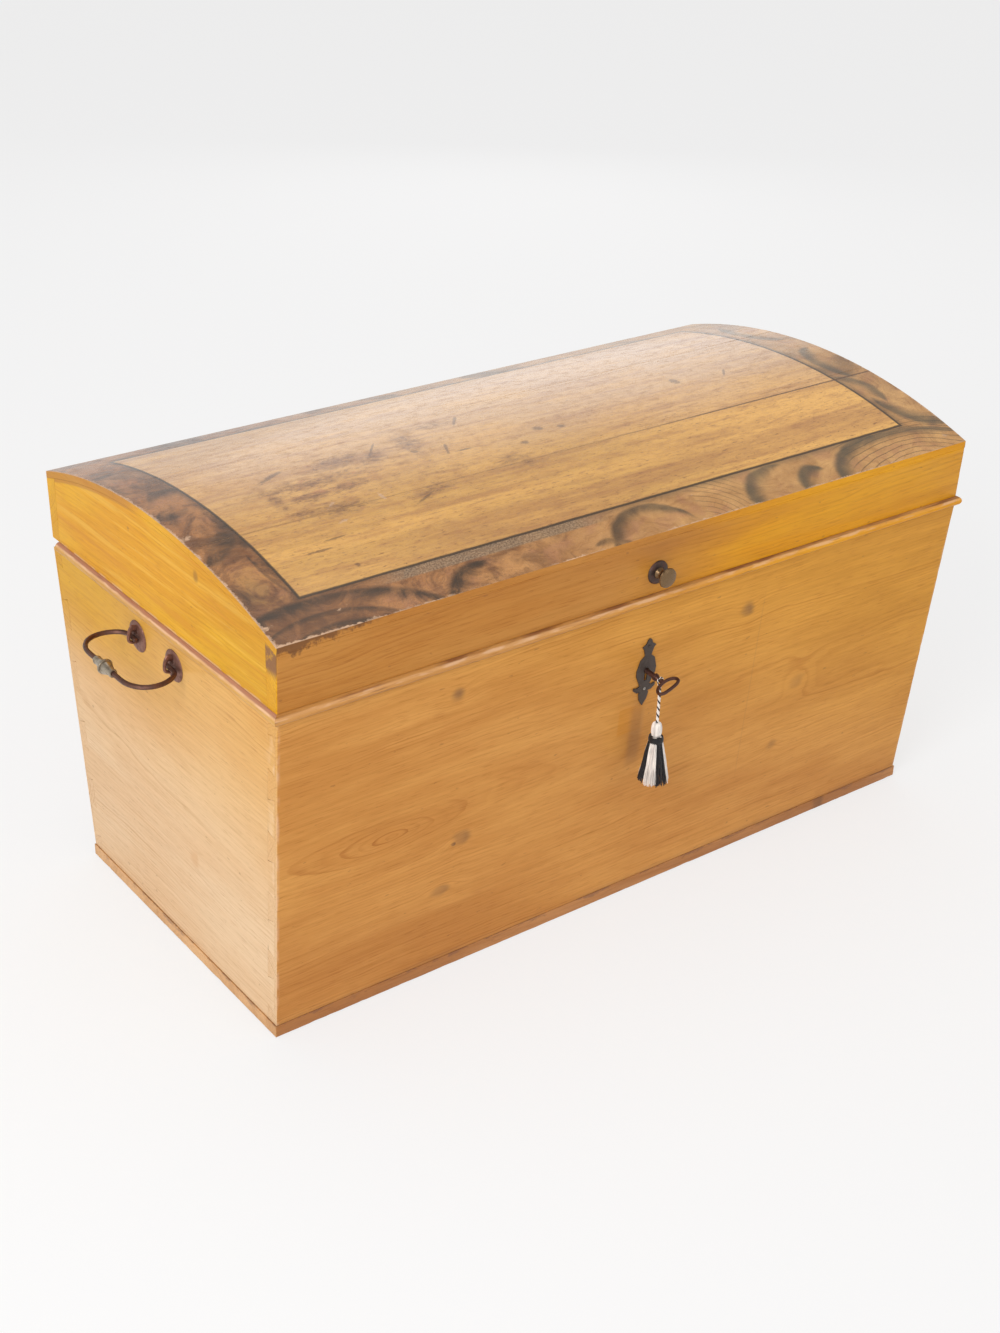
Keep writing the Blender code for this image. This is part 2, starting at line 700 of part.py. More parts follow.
lock_cover = add_piece(
    "lock_cover",
    box_mesh(
        "lock_cover",
        (-COVER_HALF_WIDTH, COVER_HALF_WIDTH),
        (COVER_IN, COVER_BACK),
        (COVER_LOW, COVER_HIGH),
    ),
    LOCK_IRON,
    lock_frame,
)
hollow_x = COVER_HALF_WIDTH - COVER_WALL
hollow = box_mesh(
    "cover_hollow",
    (-hollow_x, hollow_x),
    (COVER_IN - OVERCUT, COVER_BACK - COVER_WALL),
    (COVER_LOW + COVER_WALL, COVER_HIGH - COVER_WALL),
)
tongue_slot = box_mesh(
    "tongue_slot",
    (-COVER_SLOT, COVER_SLOT),
    (COVER_IN - OVERCUT, COVER_BACK - 2 * COVER_WALL),
    (COVER_HIGH - COVER_WALL - OVERCUT, COVER_HIGH + OVERCUT),
)
cut(add_cutter(hollow, lock_frame), lock_cover)
cut(add_cutter(tongue_slot, lock_frame), lock_cover)

bolt_right = BOLT_LEFT + BOLT_LENGTH
riser_right = BOLT_LEFT + BOLT_RISER_WIDTH
head_right = BOLT_LEFT + BOLT_HEAD_LENGTH
head_low = BOLT_HEAD_TOP - BOLT_HEAD_HEIGHT
talon_left = TALON_X - TALON_HALF_WIDTH
talon_right = TALON_X + TALON_HALF_WIDTH
bolt_outline = [
    (BOLT_LEFT, BOLT_BAR_LOW),
    (talon_left, BOLT_BAR_LOW),
    (talon_left, TALON_TOP),
    (talon_right, TALON_TOP),
    (talon_right, BOLT_BAR_LOW),
    (bolt_right, BOLT_BAR_LOW),
    (bolt_right, BOLT_BAR_HIGH),
    (riser_right, BOLT_BAR_HIGH),
    (riser_right, head_low),
    (head_right, head_low),
    (head_right, BOLT_HEAD_TOP),
    (BOLT_LEFT, BOLT_HEAD_TOP),
]
bolt_middle = (BOLT_OUTER + BOLT_INNER) / 2
bolt_mesh = outline_mesh("lock_bolt", [bolt_outline], BOLT_THICKNESS, ALONG_Y, -bolt_middle)
add_piece("lock_bolt", bolt_mesh, STEEL, lock_frame)
for number, side in enumerate((-1, 1), 1):
    place = Matrix.Translation((side * LOCK_SCREW_X, PLATE_INNER, LOCK_SCREW_Z)) @ INWARDS
    add_screw(f"lock_screw_{number}", lock_frame, place, lock_plate, front_board)

keyhole_depth = PLATE_INNER + 2 * OVERCUT
keyhole = outline_mesh("keyhole", [keyhole_outline()], keyhole_depth, ALONG_Y, -PLATE_INNER / 2)
cut(add_cutter(keyhole, lock_frame), front_board, lock_plate)

escutcheon_outline = [*ESCUTCHEON_HALF, *((-u, v) for u, v in reversed(ESCUTCHEON_HALF[1:-1]))]
escutcheon_mesh = outline_mesh(
    "escutcheon",
    [escutcheon_outline, keyhole_outline()],
    ESCUTCHEON_THICKNESS,
    ALONG_Y,
    FIT + ESCUTCHEON_THICKNESS / 2,
)
escutcheon = add_piece("escutcheon", escutcheon_mesh, IRON, lock_frame)
nail_seat = FIT + ESCUTCHEON_THICKNESS
for which, height in NAIL_HEIGHTS.items():
    name = f"escutcheon_{which}_nail"
    head = nail_seat + FIT
    profile = [
        (0, head + NAIL_HEAD * 0.6),
        (NAIL_HEAD * 0.6, head + NAIL_HEAD * 0.48),
        (NAIL_HEAD, head),
        (NAIL_SHANK, head),
        (NAIL_SHANK, -NAIL_LENGTH + 2 * NAIL_SHANK),
        (0, -NAIL_LENGTH),
    ]
    place = Matrix.Translation((0, 0, height)) @ OUTWARDS
    spin(add_piece(name, profile_mesh(name, profile), STEEL, lock_frame, place), 14)
    hole = cylinder_mesh(name, NAIL_SHANK + FIT, -NAIL_LENGTH - FIT, head + OVERCUT, OUTWARDS, 12)
    cut(add_cutter(hole, lock_frame, Matrix.Translation((0, 0, height))), escutcheon, front_board)

# Key: its own Z runs outwards along the shank and its own X along the bit
key_axis = add_frame("key_axis", Matrix.Rotation(KEY_TURNED, 4, "Y"), lock_frame)
KEY_TO_FACE = Matrix(((0, 1, 0, 0), (0, 0, -1, 0), (-1, 0, 0, 0), (0, 0, 0, 1)))
bow_middle = KEY_ROOT + BOW_RADIUS
neck_start = KEY_ROOT - KEY_NECK_LENGTH
collar_out = KEY_ROOT - KEY_COLLAR_BACK
collar_in = collar_out - KEY_COLLAR_LENGTH
key_end = -(COVER_BACK - COVER_WALL - KEY_END_GAP)
key_profile = [
    (0, bow_middle),
    (KEY_NECK_RADIUS, bow_middle),
    (KEY_NECK_RADIUS, neck_start),
    (KEY_RADIUS, neck_start - (KEY_RADIUS - KEY_NECK_RADIUS)),
    (KEY_RADIUS, collar_out),
    (KEY_COLLAR_RADIUS, collar_out),
    (KEY_COLLAR_RADIUS, collar_in),
    (KEY_RADIUS, collar_in),
    (KEY_RADIUS, key_end),
    (0, key_end),
]
key = add_piece("key", profile_mesh("key", key_profile), KEY_IRON, key_axis, KEY_TO_FACE)
spin(key, 20)
bow_points = []
for step in range(32):
    angle = 2 * math.pi * step / 32
    across = (BOW_WIDTH / 2 - BOW_RADIUS) * math.sin(angle)
    out = (BOW_DEPTH / 2 - BOW_RADIUS) * (1 - math.cos(angle)) - BOW_DENT * math.sin(angle / 2) ** 8
    bow_points.append((across, 0, bow_middle + out))
bow = add_cutter(rod_mesh("bow", bow_points, BOW_RADIUS, True), key_axis, KEY_TO_FACE)
bit_mesh = box_mesh(
    "bit",
    (0, BIT_REACH),
    (-BIT_THICKNESS / 2, BIT_THICKNESS / 2),
    (-BOLT_INNER - BIT_OVERLAP, -BOLT_OUTER + BIT_OVERLAP),
)
bit = add_cutter(bit_mesh, key_axis, KEY_TO_FACE)
combine(key, [bow, bit], "UNION")

# Tassel, in an upright frame on the key's axis
loop_place = lock_frame.matrix_basis @ Vector((0, -LOOP_AT, 0))
tassel_axis = add_frame("tassel_axis", Matrix.Translation(loop_place))
loop_radius = KEY_NECK_RADIUS + 2 * FIT + STRAND_RADIUS
loop_end = CORD_ROUTE[0][2] + FIT
loop_points = [(-STRAND_SPREAD, 0, loop_end)]
for step in range(15):
    angle = math.radians(-125 + 250 * step / 14)
    loop_points.append((loop_radius * math.sin(angle), 0, loop_radius * math.cos(angle)))
loop_points.append((STRAND_SPREAD, 0, loop_end))
add_piece("tassel_loop", rod_mesh("tassel_loop", loop_points, STRAND_RADIUS), WHITE_SILK, tassel_axis)

cord_points = interpolate_bezier(*(Vector(point) for point in CORD_ROUTE), CORD_POINTS)
add_piece("tassel_cord", rod_mesh("tassel_cord", cord_points, CORD_RADIUS), WHITE_SILK, tassel_axis)

head_top = CORD_ROUTE[-1][2] - FIT
head_profile = [(0, head_top), (CORD_RADIUS, head_top)]
for step in range(1, 8):
    angle = math.pi * step / 8
    bulge = CORD_RADIUS + (TASSEL_HEAD_RADIUS - CORD_RADIUS) * math.sin(angle) ** 0.7
    head_profile.append((bulge, head_top - TASSEL_HEAD_HEIGHT * (1 - math.cos(angle)) / 2))
head_bottom = head_top - TASSEL_HEAD_HEIGHT
head_profile += [(TASSEL_BAND_RADIUS * 0.8, head_bottom), (0, head_bottom)]
head_mesh = profile_mesh("tassel_head", head_profile)
spin(add_piece("tassel_head", head_mesh, WHITE_SILK, tassel_axis), 20)

skirt_top = head_bottom - FIT
skirt_bottom = skirt_top - TASSEL_SKIRT_HEIGHT
skirt_profile = [(0, skirt_top), (TASSEL_BAND_RADIUS, skirt_top)]
for step in range(1, 8):
    part = step / 7
    flare = TASSEL_BAND_RADIUS + (TASSEL_SKIRT_RADIUS - TASSEL_BAND_RADIUS) * part**0.85
    skirt_profile.append((flare, skirt_top - TASSEL_SKIRT_HEIGHT * part))
skirt_profile.append((0, skirt_bottom))
skirt_mesh = profile_mesh("tassel_skirt", skirt_profile)
spin(add_piece("tassel_skirt", skirt_mesh, BLACK_SILK, tassel_axis), 24)

# Staple under the lid, its window round the bolt's path
rail_inner = -DEPTH / 2 + BOARD + FIT
lid_staple = add_piece(
    "lid_staple",
    box_mesh(
        "lid_staple",
        (LOCK_X - STAPLE_HALF_WIDTH, LOCK_X + STAPLE_HALF_WIDTH),
        (rail_inner, rail_inner + STAPLE_THICKNESS),
        (STAPLE_LOW, STAPLE_HIGH),
    ),
    LOCK_IRON,
    lid_axis,
    TO_LID,
)
bolt_path = lock_frame.matrix_basis @ Vector((0, bolt_middle, BOLT_HEAD_TOP - BOLT_HEAD_HEIGHT / 2))
window_y = BOLT_THICKNESS / 2 + WINDOW_CLEARANCE
window_z = BOLT_HEAD_HEIGHT / 2 + WINDOW_CLEARANCE
window = [
    (bolt_path.y + sy * window_y, bolt_path.z + sz * window_z)
    for sy, sz in ((-1, -1), (1, -1), (1, 1), (-1, 1))
]
tongue_front = bolt_path.y - window_y - WINDOW_WALL
tongue_back = bolt_path.y + window_y + WINDOW_WALL
tongue_low = bolt_path.z - window_z - WINDOW_WALL
root_y = rail_inner + STAPLE_THICKNESS / 2
root_top = (STAPLE_LOW + STAPLE_HIGH) / 2
tongue_outline = [
    (root_y, root_top),
    (root_y, STAPLE_LOW + FIT),
    (tongue_front, STAPLE_LOW + FIT),
    (tongue_front, tongue_low),
    (tongue_back, tongue_low),
    (tongue_back, STAPLE_LOW + 2 * STAPLE_THICKNESS),
]
tongue_mesh = outline_mesh("tongue", [tongue_outline, window], TONGUE_THICKNESS, ALONG_X, LOCK_X)
combine(lid_staple, [add_cutter(tongue_mesh, lid_axis, TO_LID)], "UNION")
for number, side in enumerate((-1, 1), 1):
    seat = Vector((LOCK_X + side * STAPLE_SCREW_X, rail_inner + STAPLE_THICKNESS, root_top))
    place = TO_LID @ Matrix.Translation(seat) @ INWARDS
    add_screw(f"staple_screw_{number}", lid_axis, place, lid_staple, lid_front_rail)

# Lid knob, in a frame on the lid's front face
knob_face = -DEPTH / 2 - LID_LEAN * (KNOB_Z - LID_BOTTOM) / LID_FRONT_HEIGHT
knob_place = Matrix.Translation((LOCK_X, knob_face, KNOB_Z)) @ Matrix.Rotation(LID_FACE_LEAN, 4, "X")
knob_frame = add_frame("knob_frame", TO_LID @ knob_place, lid_axis)
plate_top = FIT + KNOB_PLATE_THICKNESS
plate_profile = [
    (KNOB_SPIGOT + FIT, plate_top),
    (KNOB_PLATE_RADIUS * 0.62, plate_top),
    (KNOB_PLATE_RADIUS * 0.86, plate_top * 0.8),
    (KNOB_PLATE_RADIUS * 0.97, plate_top * 0.45),
    (KNOB_PLATE_RADIUS, FIT),
    (KNOB_SPIGOT + FIT, FIT),
]
plate_mesh = profile_mesh("knob_backplate", plate_profile, True)
spin(add_piece("knob_backplate", plate_mesh, IRON, knob_frame, OUTWARDS), 32)
foot = plate_top + FIT
knob_profile = [
    (0, KNOB_REACH),
    (KNOB_RADIUS * 0.45, KNOB_REACH - KNOB_RADIUS * 0.02),
    (KNOB_RADIUS * 0.80, KNOB_REACH - KNOB_RADIUS * 0.10),
    (KNOB_RADIUS * 0.96, KNOB_REACH - KNOB_RADIUS * 0.21),
    (KNOB_RADIUS, KNOB_REACH - KNOB_RADIUS * 0.34),
    (KNOB_RADIUS * 0.94, KNOB_REACH - KNOB_RADIUS * 0.45),
    (KNOB_RADIUS * 0.70, KNOB_REACH - KNOB_RADIUS * 0.58),
    (KNOB_RADIUS * 0.42, KNOB_REACH - KNOB_RADIUS * 0.78),
    (KNOB_RADIUS * 0.36, foot + KNOB_RADIUS * 0.38),
    (KNOB_RADIUS * 0.46, foot + KNOB_RADIUS * 0.15),
    (KNOB_RADIUS * 0.60, foot),
    (KNOB_SPIGOT, foot),
    (KNOB_SPIGOT, -KNOB_SPIGOT_LENGTH),
    (0, -KNOB_SPIGOT_LENGTH),
]
spin(add_piece("knob", profile_mesh("knob", knob_profile), BRASS, knob_frame, OUTWARDS), 32)
spigot_hole = cylinder_mesh("spigot_hole", KNOB_SPIGOT + FIT, -KNOB_SPIGOT_LENGTH - FIT, OVERCUT, OUTWARDS)
cut(add_cutter(spigot_hole, knob_frame), lid_front_rail)


# Lifting handles, each in a frame on its end face
def eye_points(x):
    """The wire of an eye staple: round the bail, through the board and clinched over inside."""
    wall = BOARD * math.cos(END_LEAN)
    clinch = wall + FIT + EYE_WIRE
    half = []
    for step in range(7):
        angle = math.pi / 2 * step / 6
        half.append((-BAIL_STANDOFF - EYE_RADIUS * math.cos(angle), EYE_RADIUS * math.sin(angle)))
    for step in range(5):
        angle = math.pi / 2 * step / 4
        bend_y = clinch - CLINCH_BEND * (1 - math.sin(angle))
        half.append((bend_y, EYE_RADIUS + CLINCH_BEND * (1 - math.cos(angle))))
    half.append((clinch, EYE_RADIUS + CLINCH_LENGTH))
    lower = [(x, y, -z) for y, z in reversed(half[1:])]
    return lower + [(x, y, z) for y, z in half]


def bail_points():
    """The bail's rod from eye to eye, in the plane of x and outward reach."""
    knee = EYE_HALF_SPACING + BAIL_STRAIGHT
    side = EYE_HALF_SPACING + BAIL_OVERHANG
    flat = COLLAR_LENGTH / 2 + BAIL_PAST_COLLAR
    knee_bend = (knee, 0), (knee + BAIL_KNEE_BEND, 0), (side, BAIL_SIDE - BAIL_KNEE_BEND), (side, BAIL_SIDE)
    grip_bend = (
        (side, BAIL_SIDE),
        (side, BAIL_SIDE + BAIL_GRIP_BEND),
        (flat + BAIL_GRIP_BEND, BAIL_REACH),
        (flat, BAIL_REACH),
    )
    lower = interpolate_bezier(*(Vector(knot).to_3d() for knot in knee_bend), 12)
    upper = interpolate_bezier(*(Vector(knot).to_3d() for knot in grip_bend), 12)
    half = [(EYE_HALF_SPACING - BAIL_STRAIGHT, 0), *((p.x, p.y) for p in lower + upper[1:])]
    route = half + [(-x, reach) for x, reach in reversed(half)]
    return [(x, -reach, 0) for x, reach in route]


collar_bore = BAIL_RADIUS + FIT
collar_end = collar_bore + COLLAR_WALL
collar_profile = [
    (collar_end, COLLAR_LENGTH / 2),
    (collar_end * 1.1, COLLAR_LENGTH * 0.36),
    (COLLAR_WAIST, COLLAR_LENGTH * 0.19),
    (COLLAR_WAIST * 1.15, COLLAR_LENGTH * 0.11),
    (COLLAR_RING * 0.93, COLLAR_LENGTH * 0.085),
    (COLLAR_RING, COLLAR_LENGTH * 0.045),
]
collar_profile += [(radius, -height) for radius, height in reversed(collar_profile)]
collar_profile += [(collar_bore, -COLLAR_LENGTH / 2), (collar_bore, COLLAR_LENGTH / 2)]
rosette_top = FIT + ROSETTE_THICKNESS
rosette_profile = [
    (0, rosette_top),
    (ROSETTE_RADIUS * 0.60, rosette_top),
    (ROSETTE_RADIUS * 0.86, rosette_top * 0.82),
    (ROSETTE_RADIUS * 0.98, rosette_top * 0.45),
    (ROSETTE_RADIUS, FIT),
    (0, FIT),
]


def add_handle(which, side, board):
    """The handle on the left (side -1) or right (side 1) end. Its frame's x runs along the wall."""
    place = Matrix.Translation((side * half_length(HANDLE_Z), HANDLE_Y, HANDLE_Z))
    turn = Matrix.Rotation(side * math.pi / 2, 4, "Z") @ Matrix.Rotation(END_LEAN, 4, "X")
    face = add_frame(f"{which}_handle_frame", place @ turn)
    leg_in = -BOARD - OVERCUT
    leg_out = rosette_top + OVERCUT
    for where, x in (("front", -side * EYE_HALF_SPACING), ("back", side * EYE_HALF_SPACING)):
        rosette_name = f"{which}_{where}_rosette"
        rosette_place = Matrix.Translation((x, 0, 0)) @ OUTWARDS
        rosette = add_piece(
            rosette_name, profile_mesh(rosette_name, rosette_profile), IRON, face, rosette_place
        )
        spin(rosette, 32)
        eye_name = f"{which}_{where}_eye_staple"
        add_piece(eye_name, rod_mesh(eye_name, eye_points(x), EYE_WIRE), IRON, face)
        for z in (-EYE_RADIUS, EYE_RADIUS):
            leg_hole = cylinder_mesh("leg_hole", EYE_WIRE + FIT, leg_in, leg_out, OUTWARDS)
            cut(add_cutter(leg_hole, face, Matrix.Translation((x, 0, z))), rosette, board)
    axis = add_frame(f"{which}_handle_axis", Matrix.Translation((0, -BAIL_STANDOFF, 0)), face)
    bail_name = f"{which}_bail"
    add_piece(bail_name, rod_mesh(bail_name, bail_points(), BAIL_RADIUS), IRON, axis)
    collar_name = f"{which}_collar"
    collar_place = Matrix.Translation((0, -BAIL_REACH, 0)) @ LENGTHWAYS
    collar = add_piece(collar_name, profile_mesh(collar_name, collar_profile, True), PEWTER, axis, collar_place)
    spin(collar, 24)


add_handle("left", -1, left_end_board)
add_handle("right", 1, right_end_board)
make_cuts()
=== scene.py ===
"""Finishes the dome top trunk: waxed and varnished pine, a grained and worn lid, old iron and brass, and a
silk tassel on the key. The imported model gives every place; lengths are metres, +Z up, -Y to the front.
"""

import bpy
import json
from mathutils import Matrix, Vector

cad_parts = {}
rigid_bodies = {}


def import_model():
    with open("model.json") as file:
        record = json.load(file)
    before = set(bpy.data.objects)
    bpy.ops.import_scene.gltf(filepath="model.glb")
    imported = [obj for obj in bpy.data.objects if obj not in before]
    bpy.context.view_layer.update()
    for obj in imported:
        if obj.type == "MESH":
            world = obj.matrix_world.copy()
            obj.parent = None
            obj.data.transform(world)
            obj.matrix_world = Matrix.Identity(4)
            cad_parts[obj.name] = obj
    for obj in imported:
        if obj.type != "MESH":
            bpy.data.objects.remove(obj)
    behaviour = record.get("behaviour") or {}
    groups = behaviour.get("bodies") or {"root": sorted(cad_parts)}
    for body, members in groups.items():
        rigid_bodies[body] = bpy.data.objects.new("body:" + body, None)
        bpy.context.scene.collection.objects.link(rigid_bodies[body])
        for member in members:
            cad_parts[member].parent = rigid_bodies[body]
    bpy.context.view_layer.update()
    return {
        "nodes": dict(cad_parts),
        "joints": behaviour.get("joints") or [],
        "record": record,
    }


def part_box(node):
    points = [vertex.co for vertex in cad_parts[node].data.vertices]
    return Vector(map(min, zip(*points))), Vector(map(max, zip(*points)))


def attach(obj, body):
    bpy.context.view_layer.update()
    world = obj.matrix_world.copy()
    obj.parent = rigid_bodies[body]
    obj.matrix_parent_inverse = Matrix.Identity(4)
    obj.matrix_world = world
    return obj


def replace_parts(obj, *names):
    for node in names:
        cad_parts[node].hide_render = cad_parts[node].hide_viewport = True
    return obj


bl_info = {
    "name": "Dome Top Trunk",
    "version": (1, 0, 0),
    "blender": (4, 5, 0),
    "location": "View3D > Sidebar > Trunk",
    "description": "Dresses the packed trunk with worn boards, grained paint, ironwork and a tassel",
    "category": "Object",
}

import json
import math
import random
from types import SimpleNamespace

import bmesh
import bpy
from bpy.props import FloatProperty, FloatVectorProperty, PointerProperty
from mathutils import Matrix, Vector, noise
from mathutils.bvhtree import BVHTree
from mathutils.geometry import interpolate_bezier, intersect_point_line

for leftover in list(bpy.data.objects):
    bpy.data.objects.remove(leftover)
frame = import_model()
BODY_OF = {node: body for body, nodes in frame["record"]["behaviour"]["bodies"].items() for node in nodes}
JOINT_AT = {joint["name"]: Vector(joint.get("pos_m", (0, 0, 0))) for joint in frame["joints"]}

# Wall faces of the carcass: how far out they stand at the floor, and how much they lean for each metre up
FRONT_FOOT = 0.242
FRONT_SLOPE = 0.0826
END_FOOT = 0.543
END_SLOPE = 0.0152
LID_FACE = 0.2815
LID_END = 0.550
DOME_SPRING = 0.5611

# Camera of the photograph
PHOTO_HEIGHT = 1333
FOCAL_PIXELS = 1933.21
CAMERA_AT = (-1.4744, -1.8794, 1.5282)
CAMERA_RIGHT = (0.801057, -0.597998, 0.02658)
CAMERA_DOWN = (-0.264914, -0.393989, -0.88011)
CAMERA_AHEAD = (0.536776, 0.697977, -0.474026)
SENSOR = 36.0

# Tassel, from its swing axis down: the cord's route is the one that the solids follow
CORD_ROUTE = ((0, 0, -0.0110), (0.0006, 0, -0.0280), (0.0004, 0, -0.0440), (0, 0, -0.0610))
CORD_RADIUS = 0.0021
CORD_POINTS = 20
HEAD_TOP = -0.0613
HEAD_HEIGHT = 0.020
HEAD_RADIUS = 0.0074
SKIRT_TOP = -0.0816
SKIRT_HEIGHT = 0.0655
SKIRT_RADIUS = 0.0200
SKIRT_NECK = 0.0064
WRAPS = 7
WRAP_PITCH = 0.00125

# Tints that multiply the colour under them
LATE_WOOD = (0.68, 0.51, 0.37)
DARK_FIBRE = (0.78, 0.70, 0.60)
PALE_FIBRE = (1.13, 1.15, 1.22)
PORE = (0.66, 0.52, 0.40)
END_AGE = (0.95, 0.89, 0.82)
DUSK = (0.92, 0.89, 0.91)
END_GRAIN = (0.96, 0.92, 0.88)
WAX_PATCH = (0.98, 0.86, 0.50)
FOOT_AGE = (0.80, 0.72, 0.64)
LIP_AGE = (0.90, 0.82, 0.72)
RAIL_AGE = (0.91, 0.83, 0.70)
LID_END_AGE = (0.92, 0.80, 0.55)
BURL_DARK = (0.66, 0.56, 0.48)
BURL_LIGHT = (1.30, 1.35, 1.30)
HAIR_LINE = (0.62, 0.52, 0.44)

# Colours of knots, dirt and wear on the wood
KNOT = (0.165, 0.082, 0.042)
SPECK = (0.24, 0.090, 0.032)
HAND_DIRT = (0.20, 0.105, 0.060)
WARM_SPOT = (0.600, 0.300, 0.120)
LAP_LINE = (0.26, 0.12, 0.06)
FOOT_WORN = (0.720, 0.430, 0.200)
FOOT_GRIME = (0.190, 0.090, 0.060)
LEFT_LIP_TOP = (0.480, 0.235, 0.145)
LIP_GRIME = (0.17, 0.075, 0.042)
LIP_SHADOW = (0.13, 0.055, 0.03)
RAIL_END = (0.180, 0.072, 0.042)
PAINT_DRIP = (0.140, 0.056, 0.024)
ORANGE_STREAK = (0.600, 0.235, 0.012)
YELLOW_STREAK = (0.830, 0.500, 0.080)
PLANK_EDGE = (0.430, 0.170, 0.030)
BRUISE = (0.24, 0.100, 0.018)

# Colours of wear and strokes on the dome's paint
PANEL_STAIN = (0.310, 0.145, 0.058)
PANEL_GRIT = (0.175, 0.075, 0.036)
PANEL_BLUSH = (0.50, 0.20, 0.09)
PANEL_RUST = (0.400, 0.170, 0.060)
SCRATCHED = (0.110, 0.055, 0.034)
UMBER = (0.110, 0.044, 0.016)
BORDER_BLUSH = (0.440, 0.190, 0.100)
GLINT = (0.560, 0.285, 0.075)
SPECKLE_DARK = (0.150, 0.100, 0.060)
SPECKLE_LIGHT = (0.40, 0.275, 0.165)
COOL_INK = (0.076, 0.068, 0.045)
CRACK = (0.10, 0.038, 0.020)
RAW_FLECK = (0.30, 0.17, 0.08)

MERGE = 0.00001
FLAT = math.radians(0.2)
METAL_EDGE = 0.00025
SCREW_EDGE = 0.0001
METAL_SHARP = 35


# Property helpers
def colour_of(label, use, default):
    return FloatVectorProperty(
        name=label, description=use, subtype="COLOR", size=3, min=0, max=1, default=default
    )


def length_of(label, use, default):
    return FloatProperty(
        name=label, description=use, subtype="DISTANCE", unit="LENGTH", precision=4, min=0, default=default
    )


class TrunkColours(bpy.types.PropertyGroup):
    """Colours of the woods, paint, metals and silk."""

    front_honey: colour_of("Front Honey", "Pale wood of the front and back boards", (0.680, 0.322, 0.078))
    front_amber: colour_of("Front Amber", "Aged patches of the front and back boards", (0.575, 0.245, 0.052))
    end_gold: colour_of("End Gold", "Upper part of the end boards", (0.715, 0.395, 0.105))
    # Painted light: the pale cream low on the end boards stands for light thrown up from the bright floor.
    end_floor_lit: colour_of("End Cream", "Faded lower part of the end boards", (0.760, 0.535, 0.320))
    lid_gold: colour_of("Lid Gold", "Varnished ends of the lid", (0.715, 0.372, 0.012))
    rail_gold: colour_of("Rail Gold", "Varnished rails of the lid", (0.800, 0.368, 0.012))
    rail_brown: colour_of("Rail Brown", "Handled stretch of the lid's front rail", (0.545, 0.240, 0.050))
    raw_pine: colour_of("Raw Pine", "Unvarnished wood inside", (0.600, 0.400, 0.210))
    panel_gold: colour_of("Panel Gold", "Ground of the lid's centre panel", (0.675, 0.368, 0.100))
    # Partly painted light: the pale rose towards the back of the panel is fading together with a painted
    # reflection of the pale surroundings.
    panel_rose_sheen: colour_of("Panel Rose", "Faded middle of the centre panel", (0.720, 0.470, 0.285))
    panel_brown: colour_of("Panel Brown", "Streaks and scuffs on the centre panel", (0.215, 0.088, 0.038))
    border_brown: colour_of("Border Brown", "Ground of the grained border", (0.480, 0.212, 0.070))
    border_gold: colour_of("Border Gold", "Light figure of the grained border", (0.640, 0.345, 0.125))
    border_dark: colour_of("Border Dark", "Smoky strokes and lines of the border", (0.046, 0.027, 0.013))
    # Also the colour of the painted highlights on the lip's nose and down the front board's corner.
    chipped: colour_of("Chipped Edge", "Bare wood where the paint has chipped", (0.740, 0.470, 0.290))
    lip_tan: colour_of("Lip Tan", "Nose of the lip", (0.670, 0.345, 0.108))
    # Dirt and painted shade: the dark top of the lip next to the lid stands partly for the shadow in the gap
    # under the lid.
    lip_grime_and_shade: colour_of("Lip Brown", "Worn top of the lip", (0.300, 0.128, 0.050))
    foot_red: colour_of("Foot Red", "Edges of the bottom boards", (0.545, 0.255, 0.090))
    iron: colour_of("Iron", "Handles and rosettes", (0.280, 0.134, 0.096))
    black_iron: colour_of("Black Iron", "Keyhole plate and knob plate", (0.075, 0.054, 0.045))
    key_iron: colour_of("Key Iron", "Key", (0.110, 0.055, 0.042))
    steel: colour_of("Steel", "Hinges, bolt, screws and nails", (0.420, 0.400, 0.370))
    brass: colour_of("Brass", "Lid knob", (0.200, 0.125, 0.065))
    pewter: colour_of("Pewter", "Collar of the handles", (0.420, 0.360, 0.275))
    white_silk: colour_of("White Silk", "White threads of the tassel", (0.900, 0.835, 0.775))
    black_silk: colour_of("Black Silk", "Black threads of the tassel", (0.018, 0.016, 0.017))
    floor: colour_of("Floor", "Studio floor", (0.945, 0.942, 0.940))


class TrunkSizes(bpy.types.PropertyGroup):
    """Sizes of the worn edges, the painted border and the tassel's threads."""

    arris: length_of("Arris", "Width of the eased edges of the boards", 0.0010)
    chip_pitch: length_of("Chip Pitch", "Spacing of the points along a worn edge", 0.006)
    free_edge: length_of("Free Edge", "An edge this far from its neighbours is worn", 0.0025)
    border_left: length_of("Border at the Left", "Width of the painted border at the left end", 0.0655)
    border_right: length_of("Border at the Right", "Width of the painted border at the right end", 0.0705)
    border_front: length_of("Border at the Front", "Width of the painted border at the front", 0.0585)
    border_back: length_of("Border at the Back", "Width of the painted border at the back", 0.0530)
    border_line: length_of("Border Line", "Width of the line inside the border", 0.0034)
    thread: length_of("Thread", "Thickness of the tassel's threads", 0.0009)


def palette(context):
    """The sidebar's colours as plain tuples."""
    group = context.scene.trunk_colours
    return SimpleNamespace(**{name: tuple(getattr(group, name)) for name in TrunkColours.__annotations__})


# Shader values and finishes
class Value:
    """A shader socket that works in sums: each operation adds one Math node."""

    def __init__(self, finish, socket):
        self.finish = finish
        self.socket = socket

    def math(self, operation, *others):
        return self.finish.node("Math", {"operation": operation}, dict(enumerate((self, *others))))

    def output(self, name):
        """Another output of the node that this value comes from."""
        return Value(self.finish, self.socket.node.outputs[name])

    def __add__(self, other):
        return self.math("ADD", other)

    def __sub__(self, other):
        return self.math("SUBTRACT", other)

    def __rsub__(self, other):
        return self.finish.node("Math", {"operation": "SUBTRACT"}, {0: other, 1: self})

    def __mul__(self, other):
        return self.math("MULTIPLY", other)

    def __truediv__(self, other):
        return self.math("DIVIDE", other)

    def __abs__(self):
        return self.math("ABSOLUTE")

    __radd__ = __add__
    __rmul__ = __mul__


